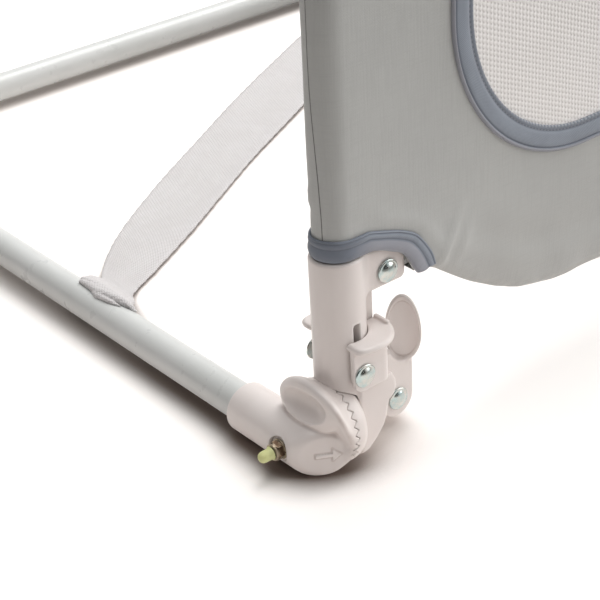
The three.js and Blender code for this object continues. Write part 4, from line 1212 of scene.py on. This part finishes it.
BIND = [(0.0, -0.25), (0.10, 0.45), (0.45, 1.05), (0.95, 1.32), (1.5, 1.18), (1.95, 0.72), (2.25, 0.42), (2.6, 0.62), (3.2, 0.88), (4.6, 1.05),
        (6.6, 1.12), (8.6, 1.05), (9.9, 0.88), (10.5, 0.55), (10.9, 0.40), (11.3, 0.58), (12.0, 0.78), (12.8, 0.72), (13.2, 0.35), (13.3, -0.25)]
for side, sg in (("front", -1.0), ("back", 1.0)):
    rings, uvs, pip, crease_shade, sti = [], [], [], [], []
    ref = loop_points(6.6)
    run = np.concatenate([[0], np.cumsum(np.hypot(*np.diff(np.vstack([ref, ref[:1]]), axis=0).T))])[:-1]
    for t, hgt in BIND:
        p = loop_points(t)
        wob = 0.10 * np.sin(run / 9.0 + t) + 0.07 * np.sin(run / 23.0)
        y = sg * (TUBE_W + hgt + wob * (1.0 if 0.3 < t < 13 else 0.0))
        rings.append(np.stack([p[:, 0], y + AXIS_Y, p[:, 1]], 1))
        uvs.append(np.stack([run, np.full(len(p), t)], 1) / 1000)
        pip.append(np.full(len(p), 1.0 if t < 1.8 else 0.0))
        # painted shade in the creases of the tape profile
        crease_shade.append(np.full(len(p), {2.25: 1.0, 1.95: 0.5, 2.6: 0.45, 10.5: 0.5, 10.9: 0.8, 11.3: 0.4, 12.0: 0.25, 12.8: 0.35, 13.2: 0.5, 13.3: 0.6}.get(t, 0.0)))
        sti.append(np.full(len(p), {12.8: 0.5, 13.2: 0.7, 10.9: 0.35}.get(t, 0.0)))
    n = len(rings[0])
    k = len(rings)
    v = np.concatenate(rings) / 1000
    f = np.array([(i * n + j, i * n + (j + 1) % n, ((i + 1) % k) * n + (j + 1) % n, ((i + 1) % k) * n + j) for i in range(k) for j in range(n)])
    bind = make(f"window_binding_{side}_tape", v, f, M["blue_binding"], uv=np.concatenate(uvs),
                attrs={"piping_and_band_light": np.concatenate(pip), "groove": np.concatenate(crease_shade), "stitch": np.concatenate(sti)}, flip=side == "back")
    done(bind, "panel", "blue_binding", f"window_binding_{side}")

    # net sheet, its edge held under the tape
    edge_line = loop_points(8.0)
    pts = [Vector((float(a), float(b))) for a, b in edge_line]
    n = len(pts)
    gx, gz = np.meshgrid(np.arange(-500, 500.1, 10), np.arange(125, 388, 9))
    g = np.stack([gx.ravel(), gz.ravel()], 1)
    g = g[poly(g[:, 0], g[:, 1], [tuple(p) for p in edge_line]) < -3]
    pts += [Vector((float(a), float(b))) for a, b in g]
    cdt = delaunay_2d_cdt(pts, [(i, (i + 1) % n) for i in range(n)], [list(range(n))], 1, 1e-5)
    p2 = np.array([tuple(p) for p in cdt[0]])
    sag = 0.5 * np.sin(p2[:, 0] / 90 + 0.6) * np.sin((p2[:, 1] - 120) / 270 * math.pi)
    y = sg * (TUBE_W - 0.35 - sag * 0.6)
    v = np.stack([p2[:, 0], y + AXIS_Y, p2[:, 1]], 1) / 1000
    net = make(f"window_net_{side}", v, [tuple(t) for t in cdt[2]], M["white_mesh"], uv=p2 / 1000, flip=side == "back")
    done(net, "panel", "white_mesh", f"window_mesh_{side}")


# ------------------------------------------------------------------ hem band round the post foot
def band_lines():
    """Stations along the wing toward the post: a point of the lower and one of the upper line of the band, in (u, z).
    """
    out = []
    low_u, low_z = zip(*BAND_LOW)
    pairs = list(zip(BAND_LOW[1:], BAND_TOP[1:]))
    front = []
    # along the wing, from its end toward the post
    t = np.linspace(0, 1, 46)
    lu = curve(np.linspace(0, 1, 7), [p[0][0] for p in pairs])
    lz = curve(np.linspace(0, 1, 7), [p[0][1] for p in pairs])
    tu = curve(np.linspace(0, 1, 7), [p[1][0] for p in pairs])
    tz = curve(np.linspace(0, 1, 7), [p[1][1] for p in pairs])
    for s in t[::-1]:
        front.append(((lu(s), lz(s)), (tu(s), tz(s))))
    for u in np.linspace(32.2, POST_U, 9)[:-1]:
        front.append(((u, 109.4), (u - 1.9 * (u - POST_U) / 13, 119.7)))
    return front


def make_band():
    wing = band_lines()
    prof = [(0.0, -0.2), (0.02, 0.5), (0.06, 1.0), (0.14, 1.35), (0.26, 1.55), (0.40, 1.45), (0.52, 1.15), (0.60, 0.85), (0.64, 0.72), (0.68, 0.86),
            (0.76, 1.15), (0.84, 1.22), (0.89, 1.0), (0.92, 0.82), (0.95, 1.1), (0.99, 1.05), (1.02, 0.6), (1.03, 0.0)]
    cols = []
    for (a, b) in wing:
        cols.append(("f", a, b))
    for k in range(1, 36):
        cols.append(("p", k / 36 * math.pi, None))
    for (a, b) in reversed(wing):
        cols.append(("b", a, b))
    V, UV, band_shade, S = [], [], [], []
    run = 0.0
    last = None
    for kind, a, b in cols:
        if kind == "p":
            ang = a
            mid = np.array([POST_U - 12.0 * math.sin(ang), -12.0 * math.cos(ang)])
        else:
            mid = np.array([(a[0] + b[0]) / 2, -12 if kind == "f" else 12])
            ref = np.array([(a[0] + b[0]) / 2, (a[1] + b[1]) / 2])
        here = np.array([mid[0], mid[1], 0 if kind == "p" else ref[1] - 116.8])
        if last is not None:
            run += float(np.linalg.norm(here - last))
        last = here
        for t, h in prof:
            wav = 0.10 * math.sin(run / 2.3 + t * 5) + 0.12 * math.sin(run / 7.1)
            if kind == "p":
                z = 109.4 + 10.3 * t + 0.30 * math.sin(ang * 2.0) * t
                r = 11.2 + h + wav * (0.3 if t < 0.05 else 1)
                V.append((POST_U - r * math.sin(ang), -r * math.cos(ang), z))
            else:
                sgn = -1 if kind == "f" else 1
                u = a[0] + (b[0] - a[0]) * t
                z = a[1] + (b[1] - a[1]) * t
                V.append((u, sgn * (11.2 + h + wav), z))
            UV.append((run / 1000, t * 0.012))
            # painted shade: the band darkens toward the post side, most on the front, and in the creases of its profile
            dark = 0.55 * smooth((POST_U + 14 - V[-1][0]) / 16) * (1 if V[-1][1] < 6 else 0.6)
            band_shade.append(max(dark, {0.60: 0.45, 0.64: 0.8, 0.68: 0.3, 0.89: 0.35, 0.92: 0.8, 0.95: 0.3, 1.02: 0.7, 1.03: 0.9}.get(t, 0.0)))
            S.append(0.0)
    k = len(prof)
    F = []
    for i in range(len(cols) - 1):
        for j in range(k):
            F.append((i * k + j, i * k + (j + 1) % k, (i + 1) * k + (j + 1) % k, (i + 1) * k + j))
    F.append(tuple(range(k)))
    F.append(tuple(range((len(cols) - 1) * k, len(cols) * k))[::-1])
    return np.array(V), F, UV, band_shade


bv, bf, buv, bg = make_band()
# painted light: the lower roll on the front of the hem band, away from the post, is lightened through the piping number
band_front_light = 0.95 * smooth((bv[:, 0] - 17) / 15) * smooth((-bv[:, 1]) / 6) * (np.array([q[1] for q in buv]) < 0.0072)
for side in SIDES:
    ob = make(f"hem_band_{side}_tape", world(bv, side), bf, M["blue_binding"], uv=buv, attrs={"groove": bg, "piping_and_band_light": band_front_light, "stitch": np.zeros(len(bg))})
    weld(ob, 1e-7)
    done(ob, "panel", "blue_binding", f"hem_band_{side}")


# ------------------------------------------------------------------ webbing straps
def strap_path():
    """Edge pairs (right edge, left edge) of the strap from the arm to the rear bar, in mm."""
    R = [(4.2, 155.6, 22.5), (9.0, 158.5, 20.4), (14, 165, 16.8), (23.3, 180, 8.8), (32.7, 195, 3.0), (60, 210.6, 2.0), (103, 235, 2.0), (145.8, 261, 2.0),
         (188.7, 287, 2.0), (228.8, 309, 2.0), (268.9, 330.5, 2.2), (360, 383, 2.2), (450, 436, 2.0), (520, 477, 2.0), (540, 489, 2.0)]
    L = [(3.4, 200.6, 22.7), (9.2, 202.6, 20.9), (14.3, 204.5, 17.5), (23.7, 213.5, 9.4), (33.4, 228.5, 3.2), (50, 247, 2.2), (76, 269, 2.0), (118, 298, 2.0),
         (160, 324, 2.0), (200, 348, 2.4), (240, 372, 3.0), (330, 421.5, 3.6), (400, 459, 2.6), (440, 482, 2.0), (456, 490, 2.0)]
    R, L = np.array(R, float), np.array(L, float)
    s = np.concatenate([[0], np.cumsum(np.linalg.norm(np.diff((R + L) / 2, axis=0), axis=1))])
    fine = np.concatenate([np.arange(0, 60, 1.6), np.arange(60, s[-1], 5.0), [s[-1]]])

    def res(a):
        return np.stack([curve(s, a[:, i])(fine) for i in range(3)], 1)
    return fine, res(R), res(L)


def strap_mesh():
    s, R, L = strap_path()
    n = len(s)
    across = np.linspace(0, 1, 27)
    mid = (R + L) / 2
    tan = np.gradient(mid, s, axis=0)
    tan /= np.linalg.norm(tan, axis=1)[:, None]
    V, UV = [], []
    acc = L - R
    nrm = np.cross(tan, acc)
    nrm /= np.linalg.norm(nrm, axis=1)[:, None]
    nrm *= np.sign(nrm[:, 2:3] + 1e-9)
    width = np.linalg.norm(acc - tan * (acc * tan).sum(1)[:, None], axis=1)
    gather = np.exp(-(s / 17.0) ** 2)
    top, bot = [], []
    for t in across:
        p = R + acc * t
        rip = gather * (0.45 * np.sin(t * 21.0 + s * 0.05) + 0.15 * np.sin(t * 47.0 + 1.3))
        sel = 0.16 * (np.exp(-((t - 0.03) / 0.025) ** 2) + np.exp(-((t - 0.97) / 0.025) ** 2))
        lift = rip + 0.25 * np.sin(s / 41.0 + t * 2.2) * (1 - gather) * np.clip(s / 120, 0, 1)
        saw = 0.22 * np.sign(np.sin(s * 2 * math.pi / 3.2)) if t in (across[0], across[-1]) else 0
        edge = (acc / np.linalg.norm(acc, axis=1)[:, None]) * np.reshape(saw * (1 if t > 0.5 else -1), (-1, 1) if np.ndim(saw) else (1,))
        q = p + nrm * np.maximum(lift, -0.2)[:, None] + edge
        th = 0.62 + sel
        if t in (across[0], across[-1]):
            th = 0.14
        top.append(q + nrm * th)
        bot.append(q - nrm * th)
    rows = top + bot[::-1]
    tt = list(across) + list(across[::-1])
    for r, t in zip(rows, tt):
        V.append(r)
        UV.append(np.stack([np.full(n, t) * width.mean(), s], 1) / 1000)
    k = len(rows)
    V = np.concatenate(V)
    V[:, 2] = np.maximum(V[:, 2], 0.55)
    F = [(i * n + j, i * n + j + 1, ((i + 1) % k) * n + j + 1, ((i + 1) % k) * n + j) for i in range(k) for j in range(n - 1)]
    F.append(tuple(i * n for i in range(k)))
    F.append(tuple(i * n + n - 1 for i in range(k))[::-1])
    return V, F, np.concatenate(UV), s[-1], width.mean()


ROLLS = [
    [(50, 152.5, 0.8), (56, 158, 1.9), (68, 166, 2.5), (78, 175, 2.3), (84, 185, 1.9), (80, 194, 1.3)],
    [(52, 157, 0.9), (54, 164, 1.9), (61, 173, 2.6), (71, 182, 2.3), (80, 190, 1.9), (84, 197, 1.3)],
    [(42, 160, 0.9), (46, 170, 1.6), (50, 181, 2.3), (60, 191, 2.1), (70, 198.5, 1.7)],
    [(80, 160, 0.5), (89, 167, 1.2), (94, 175, 1.3), (93, 183, 0.6)],
]


def sd_gathers(p):
    """Rolls of cloth that lie on the arm; each roll is (angle, y, radius) along its length."""
    u, y, z = p.T
    d = np.full(len(p), 1e3)
    for roll in ROLLS:
        q = np.array(roll, float)
        s = np.linspace(0, 1, len(q))
        fine = np.linspace(0, 1, 16)
        ang, yy, rr = (curve(s, q[:, i])(fine) for i in range(3))
        ang = np.radians(ang)
        c = np.stack([(9.5 + 0.75 * rr) * np.cos(ang), yy, ARM_Z + (9.5 + 0.75 * rr) * np.sin(ang)], 1)
        one = np.full(len(p), 1e3)
        for i in range(len(c) - 1):
            e = c[i + 1] - c[i]
            k = np.clip(((p - c[i]) @ e) / (e @ e), 0, 1)
            one = np.minimum(one, np.linalg.norm(p - c[i] - k[:, None] * e, axis=1) - (rr[i] + (rr[i + 1] - rr[i]) * k))
        d = smin(d, one, 0.8)
    d = smin(d, np.sqrt(((u - 1.5) / 1.15) ** 2 + ((y - 178) / 1.5) ** 2 + (z - 21.6) ** 2) - 3.3, 1.6)
    d = d + 0.10 * np.sin(y * 1.1 + u * 0.9) * np.sin(z * 1.2 + y * 0.35)
    return smax(d, 9.64 - np.hypot(u, z - ARM_Z), 0.2)


def gathers():
    """Bunched end of the strap that lies folded over the top of the arm."""
    v, q, _ = nets(sd_gathers, (-7, 148, 11), (14, 211, 29), 0.45)
    ang = np.arctan2(v[:, 2] - ARM_Z, v[:, 0])
    return v, q, np.stack([ang * 0.011 * 1.25, v[:, 1] / 1000 * 1.25], 1)


def strap_loop():
    """Sewn loop round the rear bar."""
    n, m = 40, 64
    a = np.arange(m) * 2 * math.pi / m
    across = np.linspace(0, 1, n)
    V, UV = [], []
    for r, sgn in ((10.15, 0), (11.25, 1)):
        for q in a:
            slip = 9.0 * math.sin(q)
            u = 455 + 88 * across + 0 * slip
            rr = r + 0.10 * np.sin(across * 40 + q * 3) * sgn - (0.25 * (np.minimum(across, 1 - across) < 0.01)) * sgn
            V.append(np.stack([u, 500 + rr * math.cos(q), ARM_Z + rr * math.sin(q)], 1))
            UV.append(np.stack([across * 0.046, np.full(n, q * 11.0 / 1000)], 1))
    V = np.concatenate(V)
    F = []
    for j in range(m):
        k = (j + 1) % m
        for i in range(n - 1):
            F.append((m * n + j * n + i, m * n + j * n + i + 1, m * n + k * n + i + 1, m * n + k * n + i))
            F.append((j * n + i, k * n + i, k * n + i + 1, j * n + i + 1))
        F.append((j * n, m * n + j * n, m * n + k * n, k * n))
        F.append((j * n + n - 1, k * n + n - 1, m * n + k * n + n - 1, m * n + j * n + n - 1))
    return V, F, np.concatenate(UV)


def stitches(points, dirs, length, lift):
    """Short threads as small capsules."""
    V, F = [], []
    for p, d in zip(points, dirs):
        d = np.array(d, float)
        d /= np.linalg.norm(d)
        up = np.array((0, 0, 1.0))
        sd = np.cross(d, up)
        b = len(V)
        k = 6
        rings = [(-0.5, 0.05, -0.25), (-0.38, 0.26, 0.05), (0.0, 0.30, 0.22), (0.38, 0.26, 0.05), (0.5, 0.05, -0.25)]
        for s, r, hgt in rings:
            for q in range(k):
                a = q / k * 2 * math.pi
                V.append(np.array(p, float) + d * s * length + up * (lift + hgt + r * math.sin(a)) + sd * r * math.cos(a))
        for i in range(len(rings) - 1):
            for q in range(k):
                F.append((b + i * k + q, b + i * k + (q + 1) % k, b + (i + 1) * k + (q + 1) % k, b + (i + 1) * k + q))
    return np.array(V), F


sv, sf, suv, slen, swid = strap_mesh()
gv, gf, guv = gathers()
lv, lf, luv = strap_loop()
# stitched bars across the strap before the rear loop
sp, sdir = [], []
fine, Rr, Ll = strap_path()
for back in (26.0, 22.0, 9.0, 5.0):
    i = int(np.searchsorted(fine, fine[-1] - back))
    for t in np.linspace(0.05, 0.95, 20):
        sp.append(Rr[i] + (Ll[i] - Rr[i]) * t)
        sdir.append(Ll[i] - Rr[i])
tv, tf = stitches(sp, sdir, 2.6, 0.75)
for side in SIDES:
    fl = side == "right"
    strap = make(f"brace_strap_{side}_web", world(sv, side), sf, M["white_webbing"], uv=suv, flip=fl)
    weld(strap, 1e-7)
    done(strap, "base", "white_webbing", f"brace_strap_{side}")
    end = make(f"brace_strap_{side}_gathers", world(gv, side), gf, M["white_webbing"], uv=guv, flip=fl)
    weld(end, 1e-7)
    done(end, "base", "white_webbing")
    lp = make(f"brace_strap_{side}_loop", world(lv, side), lf, M["white_webbing"], uv=luv, flip=fl)
    weld(lp, 1e-7)
    done(lp, "base", "white_webbing")
    st = make(f"brace_strap_{side}_stitches", world(tv, side), tf, THREAD)
    weld(st, 1e-7)
    done(st, "base", "white_webbing")


# ------------------------------------------------------------------ floor, world and light
def add_floor():
    # Camera rays see a painted shadow: an AO node with its normal tilted toward the key darkens the floor colour near
    # the parts, paler toward the rear and the right of the hinge
    me = bpy.data.meshes.new("studio_floor")
    s = 7.0
    me.from_pydata([(-s, -s, 0), (s, -s, 0), (s, s, 0), (-s, s, 0)], [], [(0, 1, 2, 3)])
    ob = bpy.data.objects.new("studio_floor", me)
    scene.collection.objects.link(ob)
    ob.location.z = -0.0002
    m = bpy.data.materials.new("studio_floor")
    m.use_nodes = True
    t = m.node_tree
    t.nodes.clear()
    out = t.nodes.new("ShaderNodeOutputMaterial")
    d = t.nodes.new("ShaderNodeBsdfDiffuse")
    lp = t.nodes.new("ShaderNodeLightPath")
    tc = t.nodes.new("ShaderNodeTexCoord")
    fold = t.nodes.new("ShaderNodeVectorMath")
    fold.operation = "ABSOLUTE"
    t.links.new(tc.outputs["Object"], fold.inputs[0])
    gap = t.nodes.new("ShaderNodeVectorMath")
    gap.operation = "DISTANCE"
    t.links.new(fold.outputs[0], gap.inputs[0])
    gap.inputs[1].default_value = (0.60, 0.24, 0.0)
    bounce_fade = t.nodes.new("ShaderNodeMapRange")
    bounce_fade.interpolation_type = "SMOOTHSTEP"
    t.links.new(gap.outputs["Value"], bounce_fade.inputs["Value"])
    bounce_fade.inputs["From Min"].default_value, bounce_fade.inputs["From Max"].default_value = 0.10, 0.62
    # floor colour for bounce rays: light near the hinge, dark far off, standing in for less bounce light away from the
    # parts
    sheet = t.nodes.new("ShaderNodeMix")
    sheet.data_type = "RGBA"
    sheet.inputs[6].default_value = (0.95, 0.90, 0.87, 1)
    sheet.inputs[7].default_value = (0.20, 0.19, 0.18, 1)
    t.links.new(bounce_fade.outputs[0], sheet.inputs["Factor"])
    mx = t.nodes.new("ShaderNodeMix")
    mx.data_type = "RGBA"
    t.links.new(sheet.outputs[2], mx.inputs[6])
    # painted shadow: ambient occlusion round a normal tilted toward the key light
    shade = t.nodes.new("ShaderNodeAmbientOcclusion")
    shade.samples = 24
    shade.inputs["Distance"].default_value = 0.050
    shade.inputs["Normal"].default_value = Vector((0.84, 0.14, 0.52)).normalized()
    open_ = t.nodes.new("ShaderNodeMapRange")
    open_.interpolation_type = "SMOOTHSTEP"
    t.links.new(shade.outputs["AO"], open_.inputs["Value"])
    open_.inputs["From Min"].default_value, open_.inputs["From Max"].default_value = 0.42, 0.88
    painted_floor_shadow = t.nodes.new("ShaderNodeMix")
    painted_floor_shadow.data_type = "RGBA"
    t.links.new(open_.outputs[0], painted_floor_shadow.inputs["Factor"])
    place = t.nodes.new("ShaderNodeSeparateXYZ")
    t.links.new(tc.outputs["Object"], place.inputs[0])
    rear = t.nodes.new("ShaderNodeMapRange")
    rear.interpolation_type = "SMOOTHSTEP"
    t.links.new(place.outputs[1], rear.inputs["Value"])
    rear.inputs["From Min"].default_value, rear.inputs["From Max"].default_value = -0.16, 0.06
    # colour of the painted shadow: dark and warm, paler toward the rear and the right of the hinge
    tone = t.nodes.new("ShaderNodeMix")
    tone.data_type = "RGBA"
    apart = t.nodes.new("ShaderNodeSeparateXYZ")
    t.links.new(fold.outputs[0], apart.inputs[0])
    paler_shadow_inward = t.nodes.new("ShaderNodeMapRange")
    paler_shadow_inward.interpolation_type = "SMOOTHSTEP"
    t.links.new(apart.outputs[0], paler_shadow_inward.inputs["Value"])
    paler_shadow_inward.inputs["From Min"].default_value, paler_shadow_inward.inputs["From Max"].default_value = 0.578, 0.540
    shadow_paling = t.nodes.new("ShaderNodeMath")
    shadow_paling.operation = "MAXIMUM"
    t.links.new(rear.outputs[0], shadow_paling.inputs[0])
    t.links.new(paler_shadow_inward.outputs[0], shadow_paling.inputs[1])
    t.links.new(shadow_paling.outputs[0], tone.inputs["Factor"])
    tone.inputs[6].default_value = (0.17, 0.135, 0.118, 1)
    tone.inputs[7].default_value = (0.72, 0.67, 0.64, 1)
    t.links.new(tone.outputs[2], painted_floor_shadow.inputs[6])
    painted_floor_shadow.inputs[7].default_value = (1.10, 1.075, 1.06, 1)
    t.links.new(painted_floor_shadow.outputs[2], mx.inputs[7])
    t.links.new(lp.outputs["Is Camera Ray"], mx.inputs["Factor"])
    t.links.new(mx.outputs[2], d.inputs["Color"])
    t.links.new(d.outputs[0], out.inputs[0])
    me.materials.append(m)


def add_world():
    """Bright studio: strong from above and from the right, dark behind the camera and at the left."""
    w = bpy.data.worlds.new("studio")
    scene.world = w
    w.use_nodes = True
    t = w.node_tree
    t.nodes.clear()
    out = t.nodes.new("ShaderNodeOutputWorld")
    tc = t.nodes.new("ShaderNodeTexCoord")
    sep = t.nodes.new("ShaderNodeSeparateXYZ")
    t.links.new(tc.outputs["Generated"], sep.inputs[0])

    def rng(src, a, b, lo, hi):
        n = t.nodes.new("ShaderNodeMapRange")
        n.interpolation_type = "SMOOTHSTEP"
        t.links.new(src, n.inputs["Value"])
        n.inputs["From Min"].default_value, n.inputs["From Max"].default_value = a, b
        n.inputs["To Min"].default_value, n.inputs["To Max"].default_value = lo, hi
        return n.outputs[0]

    def mul(a, b):
        n = t.nodes.new("ShaderNodeMath")
        n.operation = "MULTIPLY"
        t.links.new(a, n.inputs[0])
        t.links.new(b, n.inputs[1])
        return n.outputs[0]

    def near(direction, inner, outer, lo, hi):
        d = t.nodes.new("ShaderNodeVectorMath")
        d.operation = "DOT_PRODUCT"
        t.links.new(tc.outputs["Generated"], d.inputs[0])
        d.inputs[1].default_value = Vector(direction).normalized()
        return rng(d.outputs["Value"], math.cos(math.radians(outer)), math.cos(math.radians(inner)), hi, lo)

    side = rng(sep.outputs[0], -0.9, 0.9, WORLD_LEFT, WORLD_RIGHT)
    top = rng(sep.outputs[2], -0.05, 0.95, WORLD_LOW, WORLD_TOP)
    level = mul(mul(side, top), near((0.08, -0.98, 0.10), 12, 25, 0.02, 1.0))
    bg = t.nodes.new("ShaderNodeBackground")
    bg.inputs["Color"].default_value = (1.0, 0.985, 0.975, 1)
    t.links.new(level, bg.inputs["Strength"])
    white = t.nodes.new("ShaderNodeBackground")
    white.inputs["Color"].default_value = (1, 1, 1, 1)
    white.inputs["Strength"].default_value = 1.0
    lp = t.nodes.new("ShaderNodeLightPath")
    mix = t.nodes.new("ShaderNodeMixShader")
    t.links.new(lp.outputs["Is Camera Ray"], mix.inputs[0])
    t.links.new(bg.outputs[0], mix.inputs[1])
    t.links.new(white.outputs[0], mix.inputs[2])
    t.links.new(mix.outputs[0], out.inputs[0])


def add_sun(name, direction, strength, angle, color=(1, 1, 1)):
    data = bpy.data.lights.new(name, "SUN")
    data.energy = strength
    data.angle = math.radians(angle)
    data.color = color
    ob = bpy.data.objects.new(name, data)
    scene.collection.objects.link(ob)
    ob.rotation_euler = Vector(direction).to_track_quat("Z", "Y").to_euler()


WORLD_LEFT, WORLD_RIGHT, WORLD_LOW, WORLD_TOP = 0.06, 1.15, 0.72, 1.05
add_floor()
add_world()
add_sun("top_soft_box", (0.46, 0.10, 0.88), 1.62, 36, (1.0, 0.99, 0.975))
add_sun("rear_fill", (-0.26, -0.06, 0.96), 0.55, 40, (1.0, 0.99, 0.98))
add_sun("side_soft_box", (0.84, -0.46, 0.34), 0.92, 50, (1.0, 0.985, 0.965))
